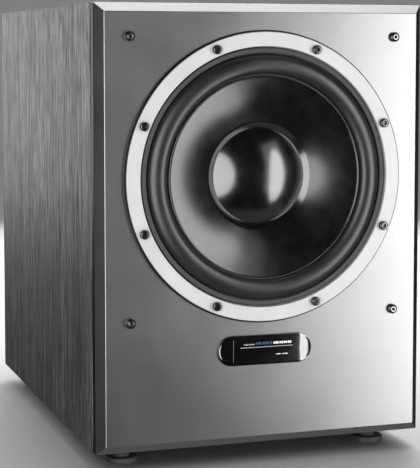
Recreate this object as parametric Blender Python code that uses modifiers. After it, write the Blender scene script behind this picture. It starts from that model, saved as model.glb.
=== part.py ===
"""Active studio subwoofer: a sealed box with one large driver in front and a plate amplifier behind.

Metres, +Z up, the front faces -Y. The origin is on the floor, under the middle of the whole object.
"""

import math

import bmesh
import bpy
from mathutils import Matrix

# Clearance that touching pieces keep
GAP = 0.0003

# Sides of a round piece: the driver's frame, its soft parts, its motor, and small pieces
FRAME_SIDES = 40
SOFT_SIDES = 32
MOTOR_SIDES = 24
SMALL_SIDES = 12

# Cabinet. Depths run back from the flat front, heights run up from the cabinet's underside.
CABINET_WIDTH = 0.3723
CABINET_HEIGHT = 0.4750
CABINET_DEPTH = 0.5126
BAFFLE_THICKNESS = 0.0190
CHAMFER_WIDTH = 0.0093
CHAMFER_DEPTH = 0.0103
PANEL_THICKNESS = 0.0180
BRACE_DEPTH = 0.2500
BRACE_WINDOW = (0.240, 0.330)
BRACE_WINDOW_RADIUS = 0.060
WADDING_THICKNESS = 0.025
WADDING_DEPTHS = (0.290, 0.470)

# Feet
FOOT_HEIGHT = 0.0200
FOOT_RADIUS = 0.0175
FOOT_NECK_RADIUS = 0.0095
FOOT_DISC_HEIGHT = 0.0060
FOOT_INSET_X = 0.0402
FOOT_INSET_Y = 0.0550
FOOT_RECESS = (0.0055, 0.0040)

# Driver. Radii from its axis, heights forward of the flat front.
DRIVER_HEIGHT = 0.2901
RING_OUTER = 0.1550
RING_INNER = 0.1398
RING_PROUD = 0.00475
BASKET_RADIUS = 0.1406
BASKET_LEDGE_INNER = 0.1310
BASKET_LEDGE = -0.0023
BASKET_LEDGE_THICKNESS = 0.0117
BASKET_LEGS = 6
LEG_WIDTH = 0.016
SCREW_CIRCLE = 0.1472
SCREW_COUNT = 8
SCREW_HEAD_RADIUS = 0.0050
SCREW_HEAD_HEIGHT = 0.0042
SCREW_SHANK_RADIUS = 0.0026
SCREW_LENGTH = 0.0210
SCREW_HEX = 0.0024
HOLE_CLEARANCE = 0.0005
GASKET_INNER = 0.1332
GASKET_HEIGHT = 0.0026
ROLL_OUTER = 0.1321
ROLL_INNER = 0.1100
ROLL_HEIGHT = 0.0078
SURROUND_LAND = -0.0008
SURROUND_THICKNESS = 0.0012
CONE_RIM = 0.1085
CONE_RIM_HEIGHT = 0.0020
CONE_NECK = 0.0386
CONE_WAIST = 0.0580
CONE_WAIST_DEPTH = 0.0196
CONE_RIM_SHARE = 0.36
CONE_THICKNESS = 0.0012
CAP_LIP_OUTER = 0.0580
CAP_DOME_RADIUS = 0.0520
CAP_DOME_HEIGHT = 0.0150
CAP_THICKNESS = 0.0010
FORMER_RADIUS = 0.0380
FORMER_WALL = 0.0006
FORMER_HEIGHTS = (-0.0300, -0.0770)
WINDING_THICKNESS = 0.0008
WINDING_HEIGHTS = (-0.0560, -0.0760)
SPIDER_OUTER = 0.0770
SPIDER_LAND = 0.0700
SPIDER_HEIGHT = -0.0440
SPIDER_WAVES = 2
SPIDER_WAVE_HEIGHT = 0.0022
SPIDER_THICKNESS = 0.0006
SHELF_OUTER = 0.0820
SHELF_INNER = 0.0712
MAGNET_SEAT = -0.0620
TOP_PLATE = (0.0750, 0.0400, 0.0080)
MAGNET = (0.0850, 0.0450, 0.0200)
YOKE_RADIUS = 0.0800
YOKE_THICKNESS = 0.0080
POLE_RADIUS = 0.0368
CUTOUT_RADIUS = 0.1412

# Grille studs, on a square grid
STUD_SPACING = 0.3000
STUD_CENTRE_HEIGHT = 0.2900
STUD_RADIUS = 0.00525
STUD_PROUD = 0.0046
STUD_SOCKET = 0.0016
STUD_SHANK = (0.0039, 0.0120)

# Badge
BADGE_LENGTH = 0.1078
BADGE_WIDTH = 0.0324
BADGE_HEIGHT = 0.1037
BADGE_THICKNESS = 0.0026
LABEL_SIZE = (0.0744, 0.0250, 0.0007)

# Amplifier. Across and up from the plate's middle as seen from behind, and out from the back panel.
PLATE_SIZE = (0.250, 0.340)
PLATE_THICKNESS = 0.0030
PLATE_HEIGHT = 0.2375
PLATE_CUTOUT = (0.226, 0.316)
HEATSINK_SIZE = (0.200, 0.130)
HEATSINK_UP = 0.085
HEATSINK_BASE = 0.0050
HEATSINK_DEPTH = 0.0220
FIN_COUNT = 17
FIN_THICKNESS = 0.0024
KNOB_RADIUS = 0.0085
KNOB_HEIGHT = 0.0140
KNOB_CENTRES = {"gain": (-0.090, -0.022), "crossover": (-0.040, -0.022)}
SHAFT_RADIUS = 0.0030
SHAFT_DEPTH = -0.0180
POT_RADIUS = 0.0085
POT_DEPTH = 0.0100
BUSH_RADIUS = 0.0042
PHASE_CENTRE = (0.012, -0.022)
PHASE_SLOT = (0.0110, 0.0060)
PHASE_SLIDER = (0.0046, 0.0040, 0.0040)
PHASE_TRAVEL = 0.0050
POWER_CENTRE = (0.086, -0.040)
ROCKER_HOLE = (0.0270, 0.0190)
ROCKER_TILT = math.radians(9)
INLET_CENTRE = (0.086, -0.104)
INLET_FLANGE = (0.0480, 0.0560, 0.0025)
INLET_CAVITY = (0.0240, 0.0170, 0.0170)
INLET_UP = 0.0090
FUSE_SIZE = (0.0230, 0.0090, 0.0240)
FUSE_UP = -0.0170
XLR_FLANGE = (0.0260, 0.0310, 0.0020)
XLR_RADIUS = 0.0118
XLR_DEPTH = 0.0220
XLR_CENTRES = {
    "left_input_socket": (-0.092, -0.075),
    "right_input_socket": (-0.046, -0.075),
    "left_output_socket": (-0.092, -0.122),
    "right_output_socket": (-0.046, -0.122),
}
BOARD_SIZE = (0.110, 0.100, 0.0016)
BOARD_CENTRE = (0.040, 0.075)
BOARD_INWARD = -0.026
TOROID_RADII = (0.056, 0.020)
TOROID_HEIGHT = 0.048
TOROID_DEPTH = 0.400
CABLE_RADIUS = 0.0026

FRONT_REACH = RING_PROUD + GAP + SCREW_HEAD_HEIGHT
REAR_REACH = 2 * GAP + PLATE_THICKNESS + HEATSINK_DEPTH
FRONT_Y = FRONT_REACH - (FRONT_REACH + CABINET_DEPTH + REAR_REACH) / 2
BACK_Y = FRONT_Y + CABINET_DEPTH
QUARTER = math.pi / 2

COLOURS = {
    # name: (colour, roughness, metallic)
    "silver_lacquer": ((0.62, 0.62, 0.63), 0.35, 0.6),
    "black_ash": ((0.055, 0.056, 0.060), 0.55, 0.0),
    "raw_board": ((0.42, 0.31, 0.20), 0.85, 0.0),
    "wadding": ((0.75, 0.74, 0.70), 0.95, 0.0),
    "cast_silver": ((0.80, 0.80, 0.80), 0.40, 0.5),
    "black_rubber": ((0.030, 0.030, 0.032), 0.60, 0.0),
    "gloss_black": ((0.010, 0.010, 0.011), 0.12, 0.0),
    "black_steel": ((0.020, 0.020, 0.022), 0.35, 0.8),
    "copper": ((0.80, 0.38, 0.20), 0.35, 1.0),
    "former": ((0.65, 0.52, 0.22), 0.45, 0.0),
    "spider_cloth": ((0.62, 0.47, 0.20), 0.85, 0.0),
    "zinc_steel": ((0.60, 0.60, 0.58), 0.35, 1.0),
    "ferrite": ((0.060, 0.058, 0.056), 0.70, 0.0),
    "black_plastic": ((0.022, 0.022, 0.024), 0.45, 0.0),
    "black_anodised": ((0.025, 0.025, 0.027), 0.45, 0.4),
    "circuit": ((0.030, 0.130, 0.050), 0.50, 0.0),
    "nickel": ((0.70, 0.68, 0.64), 0.25, 1.0),
    "white_plastic": ((0.70, 0.70, 0.68), 0.40, 0.0),
}


# Scene, materials and modelling helpers


def clear_scene():
    for obj in list(bpy.data.objects):
        bpy.data.objects.remove(obj)


def new_collection(name):
    collection = bpy.data.collections.new(name)
    bpy.context.scene.collection.children.link(collection)
    return collection


def make_materials():
    made = {}
    for name, (colour, roughness, metallic) in COLOURS.items():
        material = bpy.data.materials.new(name)
        material.use_nodes = True
        shader = material.node_tree.nodes["Principled BSDF"]
        shader.inputs["Base Color"].default_value = (*colour, 1.0)
        shader.inputs["Roughness"].default_value = roughness
        shader.inputs["Metallic"].default_value = metallic
        made[name] = material
    return made


clear_scene()
PARTS = new_collection("subwoofer")
CUTTERS = new_collection("cutters")
MATERIALS = make_materials()


def add_empty(name, location, rotation=(0.0, 0.0, 0.0)):
    empty = bpy.data.objects.new(name, None)
    empty.location = location
    empty.rotation_euler = rotation
    PARTS.objects.link(empty)
    return empty


def add(name, data, material, parent, location=(0.0, 0.0, 0.0), rotation=(0.0, 0.0, 0.0)):
    """A part with this material or, where the material is None, a cutter or a piece to be joined."""
    obj = bpy.data.objects.new(name, data)
    obj.parent = parent
    obj.location = location
    obj.rotation_euler = rotation
    if material is None:
        obj.hide_render = True
        obj.display_type = "WIRE"
        CUTTERS.objects.link(obj)
    else:
        data.materials.append(MATERIALS[material])
        PARTS.objects.link(obj)
    return obj


def mesh_of(name, bm):
    mesh = bpy.data.meshes.new(name)
    bm.to_mesh(mesh)
    bm.free()
    return mesh


def box(name, size, material, parent, centre, rotation=(0.0, 0.0, 0.0)):
    bm = bmesh.new()
    bmesh.ops.create_cube(bm, size=1.0, matrix=Matrix.Diagonal((*size, 1.0)))
    return add(name, mesh_of(name, bm), material, parent, centre, rotation)


def rods(name, radius, bottom, top, centres, segments=SMALL_SIDES):
    """A mesh of round rods at these centres, between two heights on the axis."""
    bm = bmesh.new()
    for x, y in centres:
        middle = Matrix.Translation((x, y, (bottom + top) / 2))
        bmesh.ops.create_cone(bm, cap_ends=True, segments=segments, radius1=radius, radius2=radius,
                              depth=top - bottom, matrix=middle)
    return mesh_of(name, bm)


def turned(name, profile, material, parent, location=(0.0, 0.0, 0.0), segments=SOFT_SIDES, closed=False, wall=0.0):
    """A profile of (radius, height) turned about its parent's Z. With a wall it is a thin shell, grown backwards."""
    ends = [(i, i + 1) for i in range(len(profile) - 1)]
    if closed:
        ends.append((len(profile) - 1, 0))
    mesh = bpy.data.meshes.new(name)
    mesh.from_pydata([(radius, 0.0, height) for radius, height in profile], ends, [])
    obj = add(name, mesh, material, parent, location)
    screw = obj.modifiers.new("Turn", "SCREW")
    screw.axis = "Z"
    screw.steps = segments
    screw.render_steps = segments
    screw.use_merge_vertices = True
    screw.merge_threshold = 0.00001
    if wall:
        shell = obj.modifiers.new("Wall", "SOLIDIFY")
        shell.thickness = wall
        shell.offset = -1.0
    return obj


def ring_profile(outer, inner, top, bottom):
    return [(inner, top), (outer, top), (outer, bottom), (inner, bottom)]


def outline_plate(name, points, thickness, material, parent, location=(0.0, 0.0, 0.0), rotation=(0.0, 0.0, 0.0)):
    """A flat plate with this outline in its XY plane, its thickness centred on that plane."""
    curve = bpy.data.curves.new(name, "CURVE")
    curve.dimensions = "2D"
    curve.fill_mode = "BOTH"
    curve.extrude = thickness / 2
    spline = curve.splines.new("POLY")
    spline.points.add(len(points) - 1)
    for point, (x, y) in zip(spline.points, points):
        point.co = (x, y, 0.0, 1.0)
    spline.use_cyclic_u = True
    flat = bpy.data.objects.new(name, curve)
    CUTTERS.objects.link(flat)
    bpy.context.view_layer.update()
    graph = bpy.context.evaluated_depsgraph_get()
    mesh = bpy.data.meshes.new_from_object(flat.evaluated_get(graph))
    bpy.data.objects.remove(flat)
    bm = bmesh.new()
    bm.from_mesh(mesh)
    bmesh.ops.remove_doubles(bm, verts=bm.verts, dist=0.000001)
    bmesh.ops.recalc_face_normals(bm, faces=bm.faces)
    bm.to_mesh(mesh)
    bm.free()
    return add(name, mesh, material, parent, location, rotation)


def arc(x, y, radius, start, end, steps):
    """Points on a circle's arc, with its ends, in degrees."""
    angles = [math.radians(start + (end - start) * i / steps) for i in range(steps + 1)]
    return [(x + radius * math.cos(a), y + radius * math.sin(a)) for a in angles]


def rounded_rectangle(width, height, radius, steps=4):
    x = width / 2 - radius
    y = height / 2 - radius
    corners = ((x, y, 0), (-x, y, 90), (-x, -y, 180), (x, -y, 270))
    return [p for cx, cy, a in corners for p in arc(cx, cy, radius, a, a + 90, steps)]


def combine(obj, other, operation):
    modifier = obj.modifiers.new(operation.title() + " " + other.name, "BOOLEAN")
    modifier.operation = operation
    modifier.object = other


def cut(obj, *cutters):
    for cutter in cutters:
        combine(obj, cutter, "DIFFERENCE")


def join(obj, *pieces):
    for piece in pieces:
        combine(obj, piece, "UNION")


def baked_mesh(obj):
    """The mesh of an object with its modifiers applied. The object and its cutters are then no longer needed."""
    bpy.context.view_layer.update()
    graph = bpy.context.evaluated_depsgraph_get()
    mesh = bpy.data.meshes.new_from_object(obj.evaluated_get(graph))
    bpy.data.objects.remove(obj)
    return mesh


def circle_points(radius, count, first=0.0):
    angles = [math.radians(first) + 2 * math.pi * i / count for i in range(count)]
    return [(radius * math.cos(a), radius * math.sin(a)) for a in angles]


# Cabinet


def make_baffle(cabinet):
    size = (CABINET_WIDTH, BAFFLE_THICKNESS - CHAMFER_DEPTH, CABINET_HEIGHT)
    centre = (0.0, CHAMFER_DEPTH + size[1] / 2, CABINET_HEIGHT / 2)
    baffle = box("front_baffle", size, "silver_lacquer", cabinet, centre)
    bm = bmesh.new()
    bm.from_mesh(baffle.data)
    front = min(bm.faces, key=lambda face: face.calc_center_median().y)
    bmesh.ops.inset_individual(bm, faces=[front], thickness=CHAMFER_WIDTH, depth=CHAMFER_DEPTH,
                               use_even_offset=True)
    bm.to_mesh(baffle.data)
    bm.free()
    return baffle


def cut_baffle(baffle, driver, studs):
    through = (-0.030, 0.010)
    opening = rods("driver_cutout", CUTOUT_RADIUS, *through, [(0.0, 0.0)], segments=48)
    radius = SCREW_SHANK_RADIUS + HOLE_CLEARANCE
    holes = rods("baffle_screw_holes", radius, *through, circle_points(SCREW_CIRCLE, SCREW_COUNT, 22.5))
    shank_radius, shank_length = STUD_SHANK
    sockets = rods("stud_holes", shank_radius + GAP, -shank_length - GAP, 0.010, studs)
    cut(baffle, *(add(mesh.name, mesh, None, driver) for mesh in (opening, holes, sockets)))


def make_panels(cabinet):
    """The side panels run full height. The top, bottom, back and brace fit between them."""
    front = BAFFLE_THICKNESS + GAP
    length = CABINET_DEPTH - front
    middle = front + length / 2
    side_x = (CABINET_WIDTH - PANEL_THICKNESS) / 2
    side_size = (PANEL_THICKNESS, length, CABINET_HEIGHT)
    box("left_side_panel", side_size, "black_ash", cabinet, (-side_x, middle, CABINET_HEIGHT / 2))
    box("right_side_panel", side_size, "black_ash", cabinet, (side_x, middle, CABINET_HEIGHT / 2))
    inner_width = CABINET_WIDTH - 2 * (PANEL_THICKNESS + GAP)
    inner_height = CABINET_HEIGHT - 2 * (PANEL_THICKNESS + GAP)
    level_size = (inner_width, length, PANEL_THICKNESS)
    top_z = CABINET_HEIGHT - PANEL_THICKNESS / 2
    box("top_panel", level_size, "black_ash", cabinet, (0.0, middle, top_z))
    bottom = box("bottom_panel", level_size, "black_ash", cabinet, (0.0, middle, PANEL_THICKNESS / 2))
    bolt_hole = rods("bolt_hole", 0.0033, PANEL_THICKNESS - 0.012, PANEL_THICKNESS + 0.01, [(0.0, TOROID_DEPTH)])
    cut(bottom, add("bolt_hole", bolt_hole, None, cabinet))
    back_size = (inner_width, PANEL_THICKNESS, inner_height)
    back_y = CABINET_DEPTH - PANEL_THICKNESS / 2
    back = box("back_panel", back_size, "black_ash", cabinet, (0.0, back_y, CABINET_HEIGHT / 2))
    cutout_size = (PLATE_CUTOUT[0], 2 * PANEL_THICKNESS, PLATE_CUTOUT[1])
    cut(back, box("plate_cutout", cutout_size, None, cabinet, (0.0, back_y, PLATE_HEIGHT)))
    make_brace(cabinet, inner_width, inner_height)


def make_brace(cabinet, width, height):
    upright = (QUARTER, 0.0, 0.0)
    size = (width - 2 * GAP, PANEL_THICKNESS, height - 2 * GAP)
    centre = (0.0, BRACE_DEPTH + PANEL_THICKNESS / 2, CABINET_HEIGHT / 2)
    brace = box("window_brace", size, "raw_board", cabinet, centre)
    window = rounded_rectangle(*BRACE_WINDOW, BRACE_WINDOW_RADIUS)
    cut(brace, outline_plate("brace_window", window, 2 * PANEL_THICKNESS, None, cabinet, centre, upright))


def make_wadding(cabinet):
    """Wadding that lines the top and both sides behind the brace."""
    near, far = WADDING_DEPTHS
    x = CABINET_WIDTH / 2 - PANEL_THICKNESS - 2 * GAP
    top = CABINET_HEIGHT - PANEL_THICKNESS - 2 * GAP
    bottom = PANEL_THICKNESS + 2 * GAP
    inner_x = x - WADDING_THICKNESS
    inner_top = top - WADDING_THICKNESS
    outline = [(-x, bottom), (-inner_x, bottom), (-inner_x, inner_top), (inner_x, inner_top),
               (inner_x, bottom), (x, bottom), (x, top), (-x, top)]
    outline_plate("damping_wadding", outline, far - near, "wadding", cabinet, (0.0, (near + far) / 2, 0.0),
                  (QUARTER, 0.0, 0.0))


def make_feet():
    top = FOOT_HEIGHT - GAP
    edge = 0.0010
    recess_radius, recess_depth = FOOT_RECESS
    profile = [(0.0, top), (FOOT_NECK_RADIUS, top), (FOOT_NECK_RADIUS, FOOT_DISC_HEIGHT),
               (FOOT_RADIUS - edge, FOOT_DISC_HEIGHT), (FOOT_RADIUS, FOOT_DISC_HEIGHT - edge), (FOOT_RADIUS, edge),
               (FOOT_RADIUS - edge, 0.0), (recess_radius, 0.0), (recess_radius, recess_depth), (0.0, recess_depth)]
    x = CABINET_WIDTH / 2 - FOOT_INSET_X
    front_y = FRONT_Y + FOOT_INSET_Y
    back_y = BACK_Y - FOOT_INSET_Y
    places = ((-x, front_y), (x, front_y), (-x, back_y), (x, back_y))
    for number, (foot_x, foot_y) in enumerate(places, 1):
        turned(f"foot_{number}", profile, "black_rubber", None, (foot_x, foot_y, 0.0), segments=16)


# Driver


def cone_height(radius):
    """Height of the cone's front surface: a shallow curve from the rim that steepens towards the voice coil."""
    along = (CONE_RIM - radius) / (CONE_RIM - CONE_WAIST)
    curve = CONE_RIM_SHARE * along + (1 - CONE_RIM_SHARE) * along**2
    return CONE_RIM_HEIGHT - CONE_WAIST_DEPTH * curve


def spread(start, end, steps):
    return [start + (end - start) * i / steps for i in range(steps + 1)]


def make_basket(driver):
    rim = [(RING_INNER, RING_PROUD), (RING_OUTER, RING_PROUD), (RING_OUTER, GAP), (BASKET_RADIUS, GAP),
           (BASKET_RADIUS, BASKET_LEDGE - BASKET_LEDGE_THICKNESS),
           (BASKET_LEDGE_INNER, BASKET_LEDGE - BASKET_LEDGE_THICKNESS),
           (BASKET_LEDGE_INNER, BASKET_LEDGE), (RING_INNER, BASKET_LEDGE)]
    basket = turned("driver_basket", rim, "cast_silver", driver, segments=FRAME_SIDES, closed=True)
    shelf_top = SPIDER_HEIGHT - SPIDER_THICKNESS - GAP
    seat_inner = TOP_PLATE[1] + 0.010
    hub = [(SHELF_INNER, shelf_top), (SHELF_OUTER, shelf_top), (SHELF_OUTER, MAGNET_SEAT),
           (seat_inner, MAGNET_SEAT), (seat_inner, MAGNET_SEAT + 0.005), (SHELF_INNER, MAGNET_SEAT + 0.005)]
    hub_ring = turned("basket_hub", hub, None, driver, segments=FRAME_SIDES, closed=True)
    leg_top = BASKET_LEDGE - BASKET_LEDGE_THICKNESS + 0.004
    leg = [(BASKET_RADIUS - 0.001, leg_top), (BASKET_RADIUS - 0.001, leg_top - 0.014),
           (SHELF_OUTER - 0.002, MAGNET_SEAT + 0.001), (SHELF_INNER + 0.004, MAGNET_SEAT + 0.001),
           (SHELF_INNER + 0.004, shelf_top - 0.001), (BASKET_LEDGE_INNER + 0.002, leg_top)]
    legs = []
    for number in range(BASKET_LEGS):
        turn = 2 * math.pi * number / BASKET_LEGS
        legs.append(outline_plate(f"basket_leg_{number + 1}", leg, LEG_WIDTH, None, driver, (0.0, 0.0, 0.0),
                                  (QUARTER, 0.0, turn)))
    join(basket, hub_ring, *legs)
    holes = rods("flange_holes", SCREW_SHANK_RADIUS + HOLE_CLEARANCE, -0.001, 0.010,
                 circle_points(SCREW_CIRCLE, SCREW_COUNT, 22.5))
    cut(basket, add("flange_holes", holes, None, driver))


def make_moving_assembly(coil):
    cone = [(r, cone_height(r)) for r in spread(CONE_NECK, CONE_RIM, 6)]
    turned("cone", cone, "gloss_black", coil, wall=CONE_THICKNESS)
    lip_rise = GAP + CAP_THICKNESS + 0.0002
    lip = [(r, cone_height(r) + lip_rise) for r in (CAP_DOME_RADIUS, CAP_LIP_OUTER)]
    base = lip[0][1]
    dome = []
    for r in spread(0.0, CAP_DOME_RADIUS, 4)[:-1]:
        dome.append((r, base + CAP_DOME_HEIGHT * (1 - (r / CAP_DOME_RADIUS) ** 2)))
    turned("dust_cap", dome + lip, "gloss_black", coil, wall=CAP_THICKNESS)
    former = ring_profile(FORMER_RADIUS, FORMER_RADIUS - FORMER_WALL, *FORMER_HEIGHTS)
    turned("voice_coil_former", former, "former", coil, segments=MOTOR_SIDES, closed=True)
    winding = ring_profile(FORMER_RADIUS + GAP + WINDING_THICKNESS, FORMER_RADIUS + GAP, *WINDING_HEIGHTS)
    turned("voice_coil_winding", winding, "copper", coil, segments=MOTOR_SIDES, closed=True)


def make_suspension(driver):
    """The rubber surround, a half roll between two flat lands, and the corrugated spider."""
    under_cone = CONE_THICKNESS + GAP + 0.0002
    lip_outer = CONE_RIM
    lip = [(r, cone_height(r) - under_cone) for r in spread(lip_outer - 0.006, lip_outer, 1)]
    middle = (ROLL_OUTER + ROLL_INNER) / 2
    half = (ROLL_OUTER - ROLL_INNER) / 2
    foot = lip[-1][1]
    roll = []
    for angle in spread(math.pi, 0.0, 6):
        ground = foot + (SURROUND_LAND - foot) * (1 - math.cos(math.pi - angle)) / 2
        roll.append((middle + half * math.cos(angle), ground + ROLL_HEIGHT * math.sin(angle)))
    land = [(RING_INNER - 2 * GAP, SURROUND_LAND)]
    turned("surround", lip + roll + land, "black_rubber", driver, wall=SURROUND_THICKNESS)
    gasket_bottom = SURROUND_LAND + GAP
    gasket = ring_profile(RING_INNER - 2 * GAP, GASKET_INNER, GASKET_HEIGHT, gasket_bottom)
    turned("driver_gasket", gasket, "black_rubber", driver, closed=True)
    start = FORMER_RADIUS + GAP + 0.0003
    waves = []
    for r in spread(start, SPIDER_LAND, 4 * SPIDER_WAVES):
        turns = SPIDER_WAVES * (r - start) / (SPIDER_LAND - start)
        waves.append((r, SPIDER_HEIGHT + SPIDER_WAVE_HEIGHT * math.sin(2 * math.pi * turns)))
    turned("spider", waves + [(SPIDER_OUTER, SPIDER_HEIGHT)], "spider_cloth", driver, segments=MOTOR_SIDES,
           wall=SPIDER_THICKNESS)


def make_motor(driver):
    radius, hole, thickness = TOP_PLATE
    top = MAGNET_SEAT - GAP
    turned("magnet_top_plate", ring_profile(radius, hole, top, top - thickness), "zinc_steel", driver,
           segments=MOTOR_SIDES, closed=True)
    radius, hole, magnet_thickness = MAGNET
    magnet_top = top - thickness - GAP
    turned("magnet_ring", ring_profile(radius, hole, magnet_top, magnet_top - magnet_thickness), "ferrite",
           driver, segments=MOTOR_SIDES, closed=True)
    plate_top = magnet_top - magnet_thickness - GAP
    yoke = [(0.0, top), (POLE_RADIUS, top), (POLE_RADIUS, plate_top), (YOKE_RADIUS, plate_top),
            (YOKE_RADIUS, plate_top - YOKE_THICKNESS), (0.0, plate_top - YOKE_THICKNESS)]
    turned("pole_yoke", yoke, "zinc_steel", driver, segments=MOTOR_SIDES)
    strip = box("terminal_strip", (0.034, 0.006, 0.014), "black_plastic", driver,
                (0.0, -SHELF_OUTER - 0.004, SPIDER_HEIGHT - 0.010))
    for side in (-1, 1):
        tab_centre = (side * 0.010, -SHELF_OUTER - 0.010, SPIDER_HEIGHT - 0.010)
        join(strip, box(f"terminal_tab_{'left' if side < 0 else 'right'}", (0.0048, 0.010, 0.0010), None, driver,
                        tab_centre))


def make_driver_screws(driver):
    under = RING_PROUD + GAP
    top = under + SCREW_HEAD_HEIGHT
    edge = 0.0005
    profile = [(0.0, top), (SCREW_HEAD_RADIUS - edge, top), (SCREW_HEAD_RADIUS, top - edge),
               (SCREW_HEAD_RADIUS, under), (SCREW_SHANK_RADIUS, under), (SCREW_SHANK_RADIUS, under - SCREW_LENGTH),
               (0.0, under - SCREW_LENGTH)]
    pattern = turned("screw_pattern", profile, None, driver, segments=SMALL_SIDES)
    socket = rods("hex_socket", SCREW_HEX, top - 0.0026, top + 0.002, [(0.0, 0.0)], segments=6)
    hexagon = add("hex_socket", socket, None, driver)
    cut(pattern, hexagon)
    mesh = baked_mesh(pattern)
    bpy.data.objects.remove(hexagon)
    mesh.materials.append(MATERIALS["black_steel"])
    for number, (x, y) in enumerate(circle_points(SCREW_CIRCLE, SCREW_COUNT, 22.5), 1):
        screw = bpy.data.objects.new(f"driver_screw_{number}", mesh)
        screw.parent = driver
        screw.location = (x, y, 0.0)
        PARTS.objects.link(screw)


# Front fittings


def make_studs(driver, places):
    shank_radius, shank_length = STUD_SHANK
    edge = 0.0012
    profile = [(0.0, STUD_PROUD - 0.003), (STUD_SOCKET, STUD_PROUD - 0.003), (STUD_SOCKET, STUD_PROUD),
               (STUD_RADIUS - edge, STUD_PROUD), (STUD_RADIUS, STUD_PROUD - edge), (STUD_RADIUS, GAP),
               (shank_radius, GAP), (shank_radius, -shank_length), (0.0, -shank_length)]
    for number, (x, y) in enumerate(places, 1):
        turned(f"grille_stud_{number}", profile, "black_plastic", driver, (x, y, 0.0), segments=SMALL_SIDES)


def make_badge(driver):
    """An oblong with round ends on the baffle, and a thin label plate on it."""
    up = BADGE_HEIGHT - DRIVER_HEIGHT
    radius = BADGE_WIDTH / 2
    x = BADGE_LENGTH / 2 - radius
    outline = arc(x, 0.0, radius, -90, 90, 12) + arc(-x, 0.0, radius, 90, 270, 12)
    body = outline_plate("badge_body", outline, BADGE_THICKNESS, "gloss_black", driver,
                         (0.0, up, GAP + BADGE_THICKNESS / 2))
    bevel = body.modifiers.new("Edge", "BEVEL")
    bevel.width = 0.0010
    bevel.segments = 1
    label_z = 2 * GAP + BADGE_THICKNESS + LABEL_SIZE[2] / 2
    box("badge_label", LABEL_SIZE, "gloss_black", driver, (0.0, up, label_z))


# Amplifier


def make_plate(rear):
    centre = (0.0, 0.0, GAP + PLATE_THICKNESS / 2)
    plate = outline_plate("amplifier_plate", rounded_rectangle(*PLATE_SIZE, 0.006), PLATE_THICKNESS,
                          "black_anodised", rear, centre)
    bushes = rods("bush_holes", BUSH_RADIUS + GAP, -0.002, 0.006, KNOB_CENTRES.values(), segments=16)
    sockets = rods("socket_holes", XLR_RADIUS + GAP, -0.002, 0.006, XLR_CENTRES.values(), segments=20)
    cut(plate, add("bush_holes", bushes, None, rear), add("socket_holes", sockets, None, rear))
    slots = (
        ("phase_hole", PHASE_CENTRE, (PHASE_SLOT[0] + 0.001, PHASE_SLOT[1] + 0.001)),
        ("rocker_hole", POWER_CENTRE, ROCKER_HOLE),
        ("inlet_hole", INLET_CENTRE, (INLET_FLANGE[0] - 0.012, INLET_FLANGE[1] - 0.006)),
    )
    for name, (x, y), (width, height) in slots:
        cut(plate, box(name, (width, height, 0.010), None, rear, (x, y, 0.002)))


def make_heatsink(rear):
    """An extruded comb: a flat base with upright fins across it."""
    base = 2 * GAP + PLATE_THICKNESS
    width, height = HEATSINK_SIZE
    pitch = (width - FIN_THICKNESS) / (FIN_COUNT - 1)
    outline = [(-width / 2, base)]
    for number in range(FIN_COUNT):
        left = -width / 2 + number * pitch
        right = left + FIN_THICKNESS
        if number:
            outline.append((left, base + HEATSINK_BASE))
        outline.extend([(left, base + HEATSINK_DEPTH), (right, base + HEATSINK_DEPTH)])
        if number < FIN_COUNT - 1:
            outline.append((right, base + HEATSINK_BASE))
    outline.append((width / 2, base))
    outline_plate("heatsink", [(x, -z) for x, z in outline], height, "black_anodised", rear,
                  (0.0, HEATSINK_UP, 0.0), (-QUARTER, 0.0, 0.0))


def make_control(rear, name, centre):
    """A potentiometer behind the plate, its shaft through its bush, and a knob on the shaft."""
    axis = add_empty(f"{name}_axis", (*centre, 0.0))
    axis.parent = rear
    plate_top = GAP + PLATE_THICKNESS
    bush_top = plate_top + 0.001
    bore = SHAFT_RADIUS + GAP
    body_top = -GAP
    body = [(bore, bush_top), (BUSH_RADIUS, bush_top), (BUSH_RADIUS, body_top), (POT_RADIUS, body_top),
            (POT_RADIUS, body_top - POT_DEPTH), (bore, body_top - POT_DEPTH)]
    turned(f"{name}_potentiometer", body, "black_plastic", axis, segments=16, closed=True)
    knob_bottom = bush_top + 0.0010
    shaft_top = knob_bottom + KNOB_HEIGHT - 0.004
    shaft = [(0.0, shaft_top), (SHAFT_RADIUS, shaft_top), (SHAFT_RADIUS, SHAFT_DEPTH), (0.0, SHAFT_DEPTH)]
    turned(f"{name}_shaft", shaft, "nickel", axis, segments=SMALL_SIDES)
    knob_top = knob_bottom + KNOB_HEIGHT
    skirt = KNOB_RADIUS + 0.0010
    roof = shaft_top + GAP
    profile = [(0.0, knob_top), (KNOB_RADIUS - 0.0015, knob_top), (KNOB_RADIUS - 0.0005, knob_top - 0.001),
               (KNOB_RADIUS, knob_bottom + 0.002), (skirt, knob_bottom + 0.0015), (skirt, knob_bottom),
               (bore, knob_bottom), (bore, roof), (0.0, roof)]
    knob = turned(f"{name}_knob", profile, "black_plastic", axis, segments=20)
    pointer = (0.0012, KNOB_RADIUS, 0.0010)
    cut(knob, box(f"{name}_pointer_slot", pointer, None, axis, (0.0, KNOB_RADIUS - pointer[1] / 2, knob_top)))


def make_phase_switch(rear):
    x, y = PHASE_CENTRE
    width, height = PHASE_SLOT
    top = GAP + PLATE_THICKNESS
    body = box("phase_switch", (width, height, top + 0.009), "black_plastic", rear, (x, y, (top - 0.009) / 2))
    slot = (PHASE_SLIDER[0] + PHASE_TRAVEL + 2 * GAP, PHASE_SLIDER[1] + 2 * GAP, 0.0040)
    cut(body, box("phase_slot", slot, None, rear, (x, y, top)))
    slider_z = top - 0.0020 + GAP + PHASE_SLIDER[2] / 2
    box("phase_slider", PHASE_SLIDER, "white_plastic", rear, (x - PHASE_TRAVEL / 2, y, slider_z))


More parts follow.
